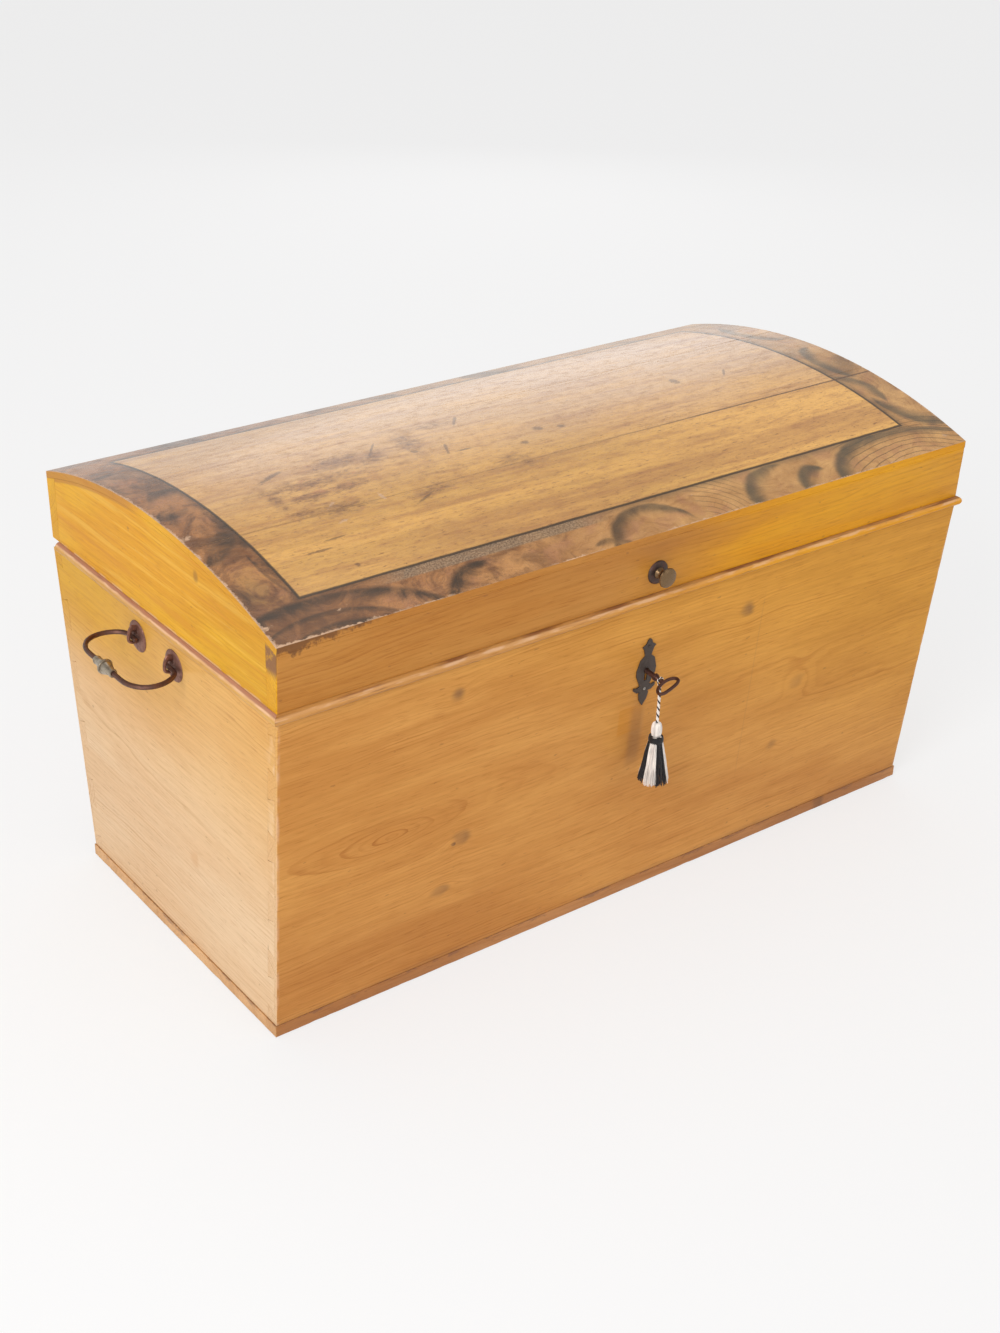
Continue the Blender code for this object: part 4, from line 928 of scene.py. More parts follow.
# Carcass
class TRUNK_OT_carcass(bpy.types.Operator):
    """Finishes the four dovetailed walls and the two bottom boards"""

    bl_idname = "trunk.carcass"
    bl_label = "Carcass"

    def execute(self, context):
        look = palette(context)
        sizes = context.scene.trunk_sizes

        def inside(f):
            return end_axes(f)[2].math("MINIMUM", front_axes(f)[2]), look.raw_pine

        def end_tones(f):
            # Painted light: the end boards turn paler and creamier towards the bottom, as if lit from the
            # bright floor.
            floor_light = f.step(f.z - f.y * 0.06, 0.50, 0.12)
            pale = f.mix(floor_light, look.end_gold, look.end_floor_lit)
            rich = f.step(f.y, -0.15, 0.20) * f.step(f.z, 0.29, 0.41)
            pale = f.mix(rich * 0.95, pale, shade(look.lid_gold, 0.92))
            return pale, f.tint(1.0, pale, END_AGE)

        def long_tones(f):
            sunny = f.step(f.x * 0.40 + f.z * 0.8, 0.16, 0.50) * 0.55
            pale = f.mix(sunny, look.front_honey, look.rail_gold)
            aged = f.mix(sunny, look.front_amber, shade(look.rail_gold, 0.84))
            # Painted shade: the long boards turn greyer and darker low on their left.
            dusk = f.step(f.z, 0.26, 0.06) * f.step(f.x, 0.0, -0.40)
            pale, aged = (f.tint(dusk, tone, DUSK) for tone in (pale, aged))
            end = f.step(end_axes(f)[2], 0.0010, 0.0003)
            end_pale, end_aged = end_tones(f)
            return f.mix(end, pale, f.tint(1.0, end_pale, END_GRAIN)), f.mix(end, aged, end_aged)

        def front_marks(f, colour):
            patch = f.step(abs(f.x + 0.020), 0.021, 0.018) * f.step(abs(f.z - 0.290), 0.022, 0.018)
            colour = f.tint(patch * 0.55, colour, WAX_PATCH)
            smear = f.step(abs(f.x + 0.008), 0.016, 0.004) * f.span(f.z, 0.20, 0.24, 0.29, 0.33)
            seam = f.step(abs(f.x - 0.195), 0.0014, 0.0006) * f.span(f.z, 0.10, 0.16, 0.38, 0.44)
            dirt = (smear * 0.30).math("MAXIMUM", seam * 0.12)
            low = f.step(f.z + f.noise((f.x * 9.0, f.z * 30.0)) * 0.02, 0.036, 0.024) * 0.25
            colour = f.mix(dirt.math("MAXIMUM", low), colour, HAND_DIRT)
            # Painted highlight: a pale broken line down the front face where it meets the end board, in the
            # colour of chipped wood.
            rub = f.patches((f.x * 90.0, f.z * 40.0), 0.40, 0.62, detail=4)
            arris = f.step(end_axes(f)[2], 0.0050, 0.0012) * f.step(front_axes(f)[2], 0.002, 0.0005)
            return f.mix(arris * rub * 0.5, colour, look.chipped)

        def end_marks(f, colour):
            corner = FRONT_FOOT + f.z * FRONT_SLOPE + f.y
            rub = f.patches((f.y * 60.0, f.z * 22.0), 0.50, 0.64, detail=3)
            lap = f.step(abs(corner - 0.0195), 0.0012, 0.0004) * rub
            pale = f.step(corner, 0.030, 0.004) * f.patches((f.y * 120.0, f.z * 50.0), 0.42, 0.64, detail=5)
            colour = f.mix(pale * 0.45, colour, shade(look.end_floor_lit, 1.08))
            spot = f.reach(f.vector(f.y, f.z), (-0.060, 0.158, 0), (0.016, 0.013, 1))[1]
            spot = f.step(spot + rub * 0.5, 1.3, 0.4) * f.step(f.x, 0.0, -0.1)
            colour = f.mix(spot * 0.40, colour, WARM_SPOT)
            return f.mix(lap * 0.65, colour, LAP_LINE)

        def foot_tones(f):
            worn = f.step(f.x, -0.5435, -0.5448)
            pale = f.mix(worn, look.foot_red, FOOT_WORN)
            return pale, f.tint(1.0, pale, FOOT_AGE)

        def floor_inside(f):
            depth = (0.530 - abs(f.x)).math("MINIMUM", 0.235 - abs(f.y)).math("MINIMUM", f.z - 0.006)
            return depth, look.raw_pine

        def foot_marks(f, colour):
            ragged = f.noise((f.x * 34.0, f.y * 34.0, f.z * 90.0), detail=5, roughness=0.7)
            grime = f.step(f.z + (ragged - 0.5) * 0.040, 0.0140, 0.0200)
            return f.mix(grime * 0.55, colour, FOOT_GRIME)

        for node, axes, tones, marks, contrast, growth in (
            ("front_board", front_axes, long_tones, front_marks, 0.72, FRONT_GRAIN),
            ("back_board", front_axes, long_tones, None, 0.72, BACK_GRAIN),
            ("left_end_board", end_axes, end_tones, end_marks, 0.52, LEFT_GRAIN),
            ("right_end_board", end_axes, end_tones, end_marks, 0.52, RIGHT_GRAIN),
        ):
            finish = pine(node.replace("board", "pine"), axes, tones, inside, marks, contrast, **growth)
            bm = worn_copy(node, sizes.arris, sizes.chip_pitch, sizes.free_edge, 1.6)
            stand_in(node + "_worn", bm, [finish], [node])
        foot = pine("foot_pine", flat_axes, foot_tones, floor_inside, foot_marks, **FOOT_GRAIN)
        for node in ("bottom_board_front", "bottom_board_back"):
            bm = worn_copy(node, sizes.arris * 1.3, sizes.chip_pitch, sizes.free_edge, 2.6)
            stand_in(node + "_worn", bm, [foot], [node])
        return {"FINISHED"}


# Lip
class TRUNK_OT_lip(bpy.types.Operator):
    """Finishes the three strips of the lip, with their worn and broken noses"""

    bl_idname = "trunk.lip"
    bl_label = "Lip"

    def execute(self, context):
        look = palette(context)
        sizes = context.scene.trunk_sizes
        for node in ("front_lip", "left_lip", "right_lip"):
            lengthways = 0 if node == "front_lip" else 1
            bm = merged_copy(node)
            low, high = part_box(node)
            runs = [
                edge
                for edge in bm.edges
                if abs((edge.verts[0].co - edge.verts[1].co).normalized()[lengthways]) > 0.99
            ]
            cuts = int((high[lengthways] - low[lengthways]) / sizes.chip_pitch)
            bmesh.ops.subdivide_edges(bm, edges=runs, cuts=cuts, use_grid_fill=True)
            self.mitre(bm, node)
            self.wear(bm, node, low, high)
            finish = self.finish(look, node)
            stand_in(node + "_worn", bm, [finish], [node], 40)
        return {"FINISHED"}

    def mitre(self, bm, node):
        """Cuts a strip along the mitres of the front corners. The side strips first run on past theirs."""
        low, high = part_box("front_lip")
        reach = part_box("left_lip")[0].y
        for vert in bm.verts:
            if node != "front_lip" and vert.co.y < reach + 0.001:
                vert.co.y = low.y - 0.002
        for side, tip in ((-1, low.x), (1, high.x)):
            if node == "front_lip" or (side < 0) == (node == "left_lip"):
                away = Vector((side, 1, 0)).normalized()
                gap = away * (-0.00015 if node == "front_lip" else 0.00015)
                cut = bmesh.ops.bisect_plane(
                    bm,
                    geom=[*bm.verts, *bm.edges, *bm.faces],
                    plane_co=Vector((tip, low.y, 0)) + gap,
                    plane_no=away,
                    clear_outer=node == "front_lip",
                    clear_inner=node != "front_lip",
                )["geom_cut"]
                rim = [part for part in cut if isinstance(part, bmesh.types.BMEdge)]
                bmesh.ops.edgeloop_fill(bm, edges=rim)
        bmesh.ops.recalc_face_normals(bm, faces=bm.faces)

    def wear(self, bm, node, low, high):
        """Breaks and waves on the nose, deepest at its tip."""
        middle = (low + high) / 2
        for vert in bm.verts:
            if node == "front_lip":
                out, tip = Vector((0, 1, 0)), (middle.y - vert.co.y) / (middle.y - low.y)
            else:
                side = math.copysign(1, vert.co.x)
                out, tip = Vector((-side, 0, 0)), (abs(vert.co.x) - abs(middle.x)) / (high.x - low.x) * 2
            if tip > 0.4:
                vert.co += out * 0.0011 * max(0.0, 0.35 + wear_at(vert.co, 2.6)) * min(1.0, (tip - 0.4) / 0.4)

    def finish(self, look, node):
        def tones(f):
            sunny = f.step(f.x, -0.25, 0.30)
            nose = f.mix(sunny, look.lip_tan, shade(look.rail_gold, 1.05))
            # Dirt and painted shade: the lip's top darkens in patches right beside the lid, where the gap
            # under the lid is in shadow.
            dirt = f.patches((f.x * 9.0, f.y * 9.0 + f.z * 90.0), 0.44, 0.60, detail=4)
            dirt = dirt * f.step(lid_axes(f)[2].math("MINIMUM", lid_end_axes(f)[2]), 0.0030, 0.0010)
            top = f.mix(dirt, shade(look.lip_tan, 0.85), look.lip_grime_and_shade)
            if node == "left_lip":
                nose, top = shade(look.end_gold, 0.9), LEFT_LIP_TOP
            pale = f.mix(f.step(f.z, 0.4706, 0.4724), nose, top)
            return pale, f.tint(1.0, pale, LIP_AGE)

        def marks(f, colour):
            along = f.x if node == "front_lip" else f.y
            broken = f.patches((along * 26.0, f.z * 160.0), 0.46, 0.62, detail=3)
            thin = 0.0014 if node == "left_lip" else 0.0
            # Painted highlight: a pale broken line along the top of the nose, where it catches the light, in
            # the colour of chipped wood.
            rubbed = f.span(f.z, 0.4670 + thin, 0.4694 + thin, 0.4712, 0.4724)
            share = 0.40 if node == "left_lip" else 0.15
            grime = f.patches((along * 11.0 + 5.0, f.z * 300.0), 0.62, 0.74, detail=3)
            colour = f.mix(rubbed * (share + broken * 0.45), colour, shade(look.chipped, 1.08))
            colour = f.mix(grime * 0.55, colour, LIP_GRIME)
            return f.mix(f.step(f.z, 0.4632, 0.4612) * 0.75, colour, LIP_SHADOW)

        axes = flat_axes if node == "front_lip" else side_axes
        return pine(node + "_pine", axes, tones, marks=marks, **LIP_GRAIN)


# Lid
class TRUNK_OT_lid_box(bpy.types.Operator):
    """Finishes the rails and the ends of the lid"""

    bl_idname = "trunk.lid_box"
    bl_label = "Lid Rails and Ends"

    def execute(self, context):
        look = palette(context)
        sizes = context.scene.trunk_sizes

        def inside(f):
            return lid_axes(f)[2].math("MINIMUM", lid_end_axes(f)[2]), look.raw_pine

        def rail_tones(f):
            smear = f.noise((f.x * 5.0 + f.z * 3.0, f.z * 20.0), detail=3)
            sunny = f.step(f.x + smear * 0.3 - f.z * 0.8, -0.34, -0.05)
            end = f.step(abs(f.x), LID_END - 0.0012, LID_END - 0.0004)
            pale = f.mix(end, f.mix(sunny, look.rail_brown, look.rail_gold), look.lid_gold)
            return pale, f.tint(1.0, pale, RAIL_AGE)

        def rail_marks(f, colour):
            ragged = f.noise((f.x * 60.0, f.y * 60.0, f.z * 60.0), detail=6, roughness=0.72)
            end = f.step(abs(f.x), LID_END - 0.0012, LID_END - 0.0004)
            in_front = f.step(f.y, 0.0, -0.1)
            band = f.span(f.z, 0.514, 0.528, 0.549, 0.557) * f.step(ragged, 0.34, 0.50) * in_front
            colour = f.mix(end * band * 0.85, colour, RAIL_END)
            corner = f.step(f.x, -0.40, -0.545)
            low_rim = f.z + corner * 0.012 + (ragged - 0.5) * 0.050
            drip = f.step(low_rim, 0.5540, 0.5620) * f.step(corner, 0.0, 0.12) * in_front
            return f.mix(drip * (1 - end) * 0.80, colour, PAINT_DRIP)

        def end_tones(f):
            gold = look.lid_gold
            pale = f.mix(f.step(f.y, -0.02, -0.24), shade(gold, 1.05), shade(gold, 0.93))
            return pale, f.tint(1.0, pale, LID_END_AGE)

        def end_marks(f, colour):
            streak = f.noise((f.y * 4.0, f.z * 110.0, f.x), detail=4, roughness=0.6)
            colour = f.mix(f.step(streak, 0.50, 0.66) * 0.55, colour, ORANGE_STREAK)
            colour = f.mix(f.step(streak, 0.46, 0.34) * 0.35, colour, YELLOW_STREAK)
            frayed = f.patches((f.y * 45.0, f.z * 90.0), 0.38, 0.58, detail=4)
            colour = f.mix(f.step(f.z, 0.4775, 0.4752) * frayed * 0.7, colour, look.chipped)
            plank = f.step(f.z + square(f.y) * 0.58, 0.5955, 0.5985) * f.step(f.y + streak * 0.1, 0.06, 0.12)
            colour = f.mix(plank * 0.65, colour, PLANK_EDGE)
            bruise = f.reach(f.vector(f.y, f.z), (-0.1075, 0.5730, 0), (0.0070, 0.0090, 1))[1]
            bruise = f.step(bruise + streak * 0.8, 1.5, 0.7) * f.step(f.x, -0.50, -0.51)
            return f.mix(bruise * 0.55, colour, BRUISE)

        rail = pine("lid_rail_pine", lid_axes, rail_tones, inside, rail_marks, 0.50, **RAIL_GRAIN)
        end = pine("lid_end_pine", lid_end_axes, end_tones, inside, end_marks, 0.60, **LID_END_GRAIN)
        for node in ("lid_front_rail", "lid_back_rail", "lid_left_end", "lid_right_end"):
            bm = worn_copy(node, sizes.arris, sizes.chip_pitch, sizes.free_edge, 1.4)
            stand_in(node + "_worn", bm, [rail if "rail" in node else end], [node])
        return {"FINISHED"}


# Grained dome
# Arcs: centre x and y, half length, half height, middle angle, half spread, half width, strength
ARCS = (
    (-0.480, -0.322, 0.165, 0.090, 78, 72, 0.0085, 0.95),
    (-0.480, -0.345, 0.130, 0.090, 80, 55, 0.0030, 0.70),
    (-0.470, -0.372, 0.130, 0.096, 80, 50, 0.0050, 0.80),
    (-0.255, -0.297, 0.062, 0.050, 148, 78, 0.0085, 1.00),
    (-0.005, -0.302, 0.070, 0.067, 112, 95, 0.0065, 0.95),
    (-0.085, -0.305, 0.040, 0.034, 60, 60, 0.0050, 0.80),
    (0.228, -0.279, 0.070, 0.050, 148, 80, 0.0085, 1.00),
    (0.276, -0.280, 0.029, 0.030, 130, 95, 0.0080, 1.00),
    (0.400, -0.306, 0.092, 0.078, 125, 60, 0.0080, 1.00),
    (0.440, -0.440, 0.230, 0.210, 84, 28, 0.0055, 0.85),
    (0.538, -0.045, 0.042, 0.062, 168, 78, 0.0085, 0.85),
    (0.470, -0.140, 0.045, 0.055, 20, 62, 0.0075, 0.80),
    (0.560, -0.160, 0.070, 0.080, 225, 52, 0.0090, 0.90),
    (0.545, 0.130, 0.045, 0.070, 190, 74, 0.0080, 0.75),
    (-0.560, -0.040, 0.080, 0.095, 312, 42, 0.0090, 0.85),
    (-0.535, 0.010, 0.034, 0.030, 250, 95, 0.0080, 0.80),
    (-0.520, 0.120, 0.030, 0.060, 150, 95, 0.0080, 0.70),
    (-0.470, -0.150, 0.030, 0.080, 215, 52, 0.0040, 0.75),
)
# Scuffs, scratches and chips: centre x and y, half length, half height, turn in degrees
SCUFFS = (
    (-0.340, -0.021, 0.066, 0.014, 0),
    (-0.403, -0.038, 0.010, 0.026, 0),
    (-0.305, -0.047, 0.026, 0.012, 10),
    (-0.360, -0.052, 0.026, 0.010, 0),
    (-0.342, -0.092, 0.026, 0.013, 0),
    (-0.390, -0.085, 0.018, 0.008, 0),
    (-0.280, 0.020, 0.034, 0.015, 10),
    (-0.220, -0.106, 0.026, 0.009, 8),
    (-0.085, -0.085, 0.028, 0.012, 0),
    (-0.068, -0.101, 0.024, 0.008, 0),
    (-0.170, 0.032, 0.014, 0.036, -10),
    (-0.120, 0.060, 0.040, 0.010, 0),
    (-0.235, 0.008, 0.020, 0.014, 30),
)
SCRATCHES = (
    (-0.378, 0.019, 0.027, 0.0048, 26),
    (-0.075, 0.055, 0.021, 0.0026, 52),
    (-0.140, -0.020, 0.018, 0.0026, 64),
    (-0.121, -0.032, 0.015, 0.0024, 0),
    (-0.222, 0.029, 0.022, 0.0018, 50),
    (-0.415, -0.161, 0.022, 0.0024, 0),
    (-0.386, -0.146, 0.018, 0.0016, 2),
    (-0.391, -0.200, 0.004, 0.0040, 0),
    (-0.238, -0.115, 0.022, 0.0022, 26),
    (0.355, 0.002, 0.014, 0.0018, 50),
    (-0.040, -0.052, 0.007, 0.0060, 0),
    (0.002, -0.025, 0.008, 0.0070, 0),
    (0.033, -0.034, 0.007, 0.0060, 0),
    (0.270, 0.012, 0.008, 0.0110, 0),
    (-0.180, -0.005, 0.006, 0.0050, 0),
)
CHIPS = (
    (-0.355, -0.118, 0.012, 0.0026, 12),
    (-0.352, -0.081, 0.014, 0.0028, 42),
    (-0.285, -0.090, 0.003, 0.0100, 0),
    (0.082, -0.240, 0.005, 0.0020, 10),
    (0.528, -0.263, 0.005, 0.0035, 0),
    (-0.453, -0.257, 0.005, 0.0024, 15),
    (-0.543, -0.254, 0.006, 0.0040, 0),
    (-0.540, -0.072, 0.010, 0.0060, 40),
)


def arc_mask(f, flat, ragged, arc):
    """A smoky stroke along part of an ellipse: crisp outside, fading inwards and thinning to its ends."""
    cx, cy, length, height, middle, spread, width, strength = arc
    off, far = f.reach(flat, (cx, cy, 0), (length, height, 1))
    middle, spread = math.radians(middle), math.radians(spread)
    aim = f.node("VectorMath", {"operation": "NORMALIZE"}, {0: off})
    towards = (math.cos(middle), math.sin(middle), 0)
    turn = f.node("VectorMath", {"operation": "DOT_PRODUCT"}, {0: aim, 1: towards}, "Value")
    swell = f.step(turn, math.cos(spread), math.cos(spread * 0.30))
    side = ((far - 1.0) * ((length + height) / 2) + ragged * width * 1.1) / (swell * 1.1 + 0.2)
    body = f.step(side, width * 0.95, width * 0.05) * f.step(side, width * -2.4, width * -0.2)
    return body * f.step(turn, math.cos(spread), math.cos(spread * 0.75)) * strength


def blot_masks(f, flat, ragged, blots, low, high):
    """Patches that break up at their rims."""
    masks = []
    for cx, cy, length, height, turn in blots:
        far = f.reach(flat, (cx, cy, 0), (length, height, 1), math.radians(turn))[1]
        masks.append(f.step(far + ragged, high, low))
    return most(masks)


def ring_lines(f, flat, centre, stretch, pitch, warp):
    """Thin drawn lines round a centre, like the rings of a sawn root."""
    far = f.reach(flat, (*centre, 0), (stretch, 1, 1))[1] + warp * 0.020
    return f.step(abs((far * (math.pi / pitch)).math("SINE")), 0.40, 0.0)


def panel_colour(f, look, flat, patch, fleck):
    """The worn golden panel: streaks along the grain, scuffs, scratches and specks."""
    x, y = f.x, f.y
    gold, rose_sheen, brown = look.panel_gold, look.panel_rose_sheen, look.panel_brown
    streak = f.noise((x * 2.4, y * 26.0), detail=5, roughness=0.6)
    cloud = f.noise((x * 6.0 + 2.0, y * 14.0), detail=4)
    mottle = f.noise((x * 28.0, y * 90.0), detail=4, roughness=0.65)
    dash = f.noise((x * 75.0, y * 480.0), detail=3, roughness=0.6)
    ribbon = f.noise((x * 3.5 + 5.0, y * 75.0), detail=4, roughness=0.6)
    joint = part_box("dome_plank_front")[1].y
    beyond = f.step(y, joint - 0.002, joint + 0.002) * f.step(x, -0.05, 0.30)
    sunny = f.step(x, 0.0, 0.36) * f.step(y, 0.06, -0.10)
    # Fading and painted reflection: the panel turns paler and rosier towards its back and beyond the plank
    # joint.
    colour = f.mix(beyond * 0.30 + f.step(y, -0.13, 0.12) * 0.60, f.mix(sunny, gold, shade(gold, 1.38)), rose_sheen)
    colour = f.mix(f.step(streak, 0.46, 0.70) * 0.45, colour, shade(brown, 1.7))
    colour = f.mix(f.step(cloud, 0.44, 0.64) * 0.35, colour, shade(gold, 1.25))
    smoky = f.noise((x * 4.0 + 7.0, y * 30.0), detail=4) - 0.5
    band = f.step(abs(y + 0.192 + smoky * 0.03), 0.026, 0.010) * f.step(x + smoky * 0.3, -0.36, -0.24)
    low = f.step(abs(y + 0.099 + smoky * 0.02), 0.012, 0.003) * f.span(x, -0.24, -0.16, 0.0, 0.10)
    colour = f.mix(band * 0.38 + low * 0.30, colour, shade(brown, 1.6))
    light = f.step(abs(y + 0.152 + smoky * 0.03), 0.016, 0.004) * f.step(x, 0.30, 0.0)
    colour = f.mix(light * 0.45, colour, shade(gold, 1.30))
    for value, start, full, share, tint in (
        (ribbon, 0.50, 0.68, 0.40, shade(brown, 1.8)),
        (ribbon, 0.47, 0.30, 0.40, shade(gold, 1.28)),
        (mottle, 0.50, 0.68, 0.34, shade(brown, 1.7)),
        (mottle, 0.46, 0.30, 0.26, shade(gold, 1.28)),
        (fleck, 0.50, 0.68, 0.36, shade(brown, 1.4)),
        (dash, 0.58, 0.68, f.step(y, 0.10, -0.10) * 0.60 + 0.15, shade(brown, 1.1)),
    ):
        colour = f.mix(f.step(value, start, full) * share, colour, tint)
    scuffs = blot_masks(f, flat, (cloud - 0.5) * 1.6, SCUFFS, 0.0, 1.9)
    worn = f.step(f.reach(flat, (-0.27, -0.03, 0), (0.26, 0.14, 1))[1], 1.1, 0.2)
    grit = f.noise((x * 80.0, y * 150.0), detail=7, roughness=0.8)
    stain = f.step(patch + scuffs * 0.20 + worn * 0.05, 0.50, 0.78)
    colour = f.mix(stain * 0.55, colour, PANEL_STAIN)
    colour = f.mix(f.step(grit + scuffs * 0.13 + worn * 0.05, 0.58, 0.74) * 0.66, colour, PANEL_GRIT)
    colour = f.mix(f.step(grit, 0.42, 0.28) * worn * 0.60, colour, shade(gold, 1.40))
    rosy = f.patches((x * 45.0 + 4.0, y * 60.0), 0.62, 0.72, detail=3) * worn
    colour = f.mix(rosy * 0.45, colour, PANEL_BLUSH)
    rust = f.patches((x * 22.0 + 1.0, y * 30.0), 0.50, 0.66, detail=6, roughness=0.7) * worn
    colour = f.mix(rust * 0.45, colour, PANEL_RUST)
    dots = f.patches((x * 170.0, y * 190.0), 0.68, 0.74, detail=2)
    colour = f.mix(dots * 0.50, colour, shade(brown, 0.6))
    scratched = blot_masks(f, flat, (patch - 0.5) * 3.2, SCRATCHES, 0.45, 1.15)
    return f.mix(scratched * 0.62, colour, SCRATCHED)


def border_colour(f, look, flat, inset, wobble):
    """Tan and brown graining with drawn rings, a speckled strip beside the line, and smoky strokes."""
    x, y = f.x, f.y
    brown, gold, dark = look.border_brown, look.border_gold, look.border_dark
    drift = f.noise((x * 9.0, y * 9.0), detail=3) - 0.5
    drift_2 = f.noise((x * 9.0 + 9.0, y * 9.0), detail=3) - 0.5
    burl = f.noise((x + drift * 0.07, y + drift_2 * 0.07), 20.0, 5, 0.62)
    smoke = f.noise((x + drift * 0.14, y + drift_2 * 0.14), 12.0, 3, 0.5, 0.6)
    blush = f.noise((x * 26.0 + 3.0, y * 32.0), detail=4)
    at_side = f.step(abs(x), 0.472, 0.486)
    hair = f.noise((x * 16.0 + drift * 5.0, y * 190.0 + drift_2 * 26.0), detail=4, roughness=0.65)
    hair_2 = f.noise((x * 190.0 + drift * 26.0, y * 16.0 + drift_2 * 5.0), detail=4, roughness=0.65)
    hair = hair + (hair_2 - hair) * at_side
    flame = f.noise((x + drift * 0.05, y + drift_2 * 0.05), 15.0, 6, 0.66, 1.7)
    bold = 0.22 + f.step(x, 0.05, -0.36) * 0.70
    ground = f.mix(f.step(x, -0.42, 0.16), brown, gold)
    colour = f.tint(f.step(burl, 0.40, 0.66) * 0.55, ground, BURL_DARK)
    colour = f.mix(f.step(burl, 0.46, 0.30) * 0.55, colour, f.tint(1.0, ground, BURL_LIGHT))
    colour = f.mix(f.step(blush, 0.50, 0.66) * 0.40, colour, BORDER_BLUSH)
    colour = f.mix(f.step(flame, 0.42, 0.66) * bold * 0.85, colour, UMBER)
    feather = f.step(abs((flame * 64.0).math("SINE")), 0.50, 0.0)
    colour = f.mix(feather * bold * 0.60, colour, UMBER)
    colour = f.tint(f.step(hair, 0.50, 0.66) * 0.45, colour, HAIR_LINE)
    glint = f.step(f.reach(flat, (-0.522, -0.185, 0), (0.020, 0.042, 1))[1] + (flame - 0.5) * 7.0, 1.2, 0.2)
    colour = f.mix(glint * 0.60, colour, GLINT)
    nick = f.patches((x * 210.0, y * 260.0), 0.74, 0.78, detail=2) * f.step(x, -0.10, -0.25)
    colour = f.mix(nick * 0.7, colour, look.chipped)
    shadow = f.step(x, -0.36, -0.46) * f.step(y, -0.185, -0.245)
    colour = f.mix(shadow * f.step(flame, 0.30, 0.52) * 0.60, colour, UMBER)
    at_front = f.step(y, -0.205, -0.225)
    rings = ring_lines(f, flat, (0.440, -0.330), 1.9, 0.0085, drift) * f.step(x, 0.325, 0.36) * at_front
    fan = ring_lines(f, flat, (0.060, -0.320), 1.0, 0.0090, drift) * f.span(x, 0.07, 0.09, 0.14, 0.17)
    colour = f.mix((rings * 0.70).math("MAXIMUM", fan * at_front * 0.55), colour, shade(dark, 1.8))
    strip = f.step(inset, -0.0180, -0.0150) * f.span(x, -0.41, -0.34, -0.11, -0.03) * at_front
    grey = f.noise((x * 420.0, y * 520.0), detail=3)
    speckled = f.mix(f.step(grey, 0.42, 0.60), SPECKLE_DARK, SPECKLE_LIGHT)
    colour = f.mix(strip * (0.50 + smoke * 0.4), colour, speckled)
    beside = f.step(y, -0.235, -0.200) * (0.70 - f.step(x, 0.20, 0.45) * 0.25)
    colour = f.mix(f.step(smoke, 0.46, 0.72) * beside, colour, dark)
    hem = f.step(inset + drift * 0.012, -0.0140, 0.0) * (1 - strip) * 0.45
    fray = wobble + (flame - 0.5) * (0.3 + bold * 1.6)
    strokes = most(arc_mask(f, flat, fray, arc) for arc in ARCS)
    strokes = strokes * (0.78 - bold * 0.36 + f.step(flame, 0.30, 0.62) * bold * 0.56)
    ink = f.mix(f.step(x, -0.16, 0.16), dark, COOL_INK)
    return f.mix(strokes.math("MAXIMUM", hem), colour, ink), burl


def dome_finish(look, sizes):
    """Old grained paint: a worn golden panel inside a dark line and a border of burl and smoky strokes."""
    f = Finish("grained_dome", Specular_IOR_Level=0.48, Coat_Weight=0.12, Coat_Roughness=0.12)
    low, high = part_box("dome_plank_front")[0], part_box("dome_plank_back")[1]
    x, y = f.x, f.y
    flat = f.vector(x, y)
    wobble = f.noise((x * 30.0, y * 30.0), detail=2) - 0.5
    inset = (high.x - sizes.border_right - x).math("MINIMUM", x - (low.x + sizes.border_left))
    inset = inset.math("MINIMUM", y - (low.y + sizes.border_front))
    inset = inset.math("MINIMUM", high.y - sizes.border_back - y) + wobble * 0.0012
    patch = f.noise((x * 55.0, y * 90.0), detail=6, roughness=0.75)
    fleck = f.noise((x * 26.0, y * 520.0), detail=3, roughness=0.65)
    border, burl = border_colour(f, look, flat, inset, wobble)
    colour = f.mix(f.step(inset, -0.0005, 0.0008), border, panel_colour(f, look, flat, patch, fleck))
    line = f.step(abs(inset), sizes.border_line * 0.85, sizes.border_line * 0.30)
    colour = f.mix(line * 0.90, colour, look.border_dark)
    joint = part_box("dome_plank_front")[1].y
    crack = f.step(abs(y - joint), 0.0020, 0.0009) * (0.20 + f.step(x + wobble * 0.2, 0.02, 0.30) * 0.75)
    colour = f.mix(crack * 0.85, colour, CRACK)
    edge = (high.x - abs(x)).math("MINIMUM", (y - low.y).math("MINIMUM", high.y - y))
    flake = f.noise((x, y, f.z), 110.0, 5, 0.75)
    stretch = f.noise((x * 9.0, y * 9.0, 2.0), detail=3)
    at_left = f.step(x, -0.40, -0.52)
    chafed = edge + (flake - 0.5) * 0.016 - at_left * 0.0014
    rubbed = f.step(chafed, 0.0018, 0.0004) * f.step(stretch + at_left * 0.10, 0.36, 0.58)
    bare = rubbed.math("MAXIMUM", blot_masks(f, flat, (flake - 0.5) * 3.6, CHIPS, 0.3, 0.9))
    pale = look.chipped
    colour = f.mix(bare * 0.80, colour, f.mix(f.step(fleck, 0.4, 0.6), pale, shade(pale, 0.7)))
    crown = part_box("dome_plank_middle")[1].z
    rise = crown - DOME_SPRING
    radius = (high.y * high.y + rise * rise) / (2 * rise)
    depth = crown - radius + (radius * radius - square(y)).math("SQRT") - f.z
    raw = f.step(depth, 0.0050, 0.0065) * f.step(edge, 0.0, 0.003)
    plain = f.noise((x * 3.0 + 8.0, y * 70.0), detail=5, roughness=0.65)
    pine_tone = f.mix(f.step(plain, 0.38, 0.66), look.raw_pine, shade(look.raw_pine, 0.66))
    colour = f.mix(raw, colour, f.mix(f.step(fleck, 0.50, 0.70) * 0.4, pine_tone, RAW_FLECK))
    rough = 0.22 + f.step(patch, 0.45, 0.62) * 0.10 + bare * 0.25 + burl * 0.06 + raw * 0.3
    height = fleck * 0.25 - line * 0.3 - crack * 1.5 - bare * 0.6 + patch * 0.3 + burl * 0.12
    return f.done(colour, rough, height, 0.0004, 0.10)


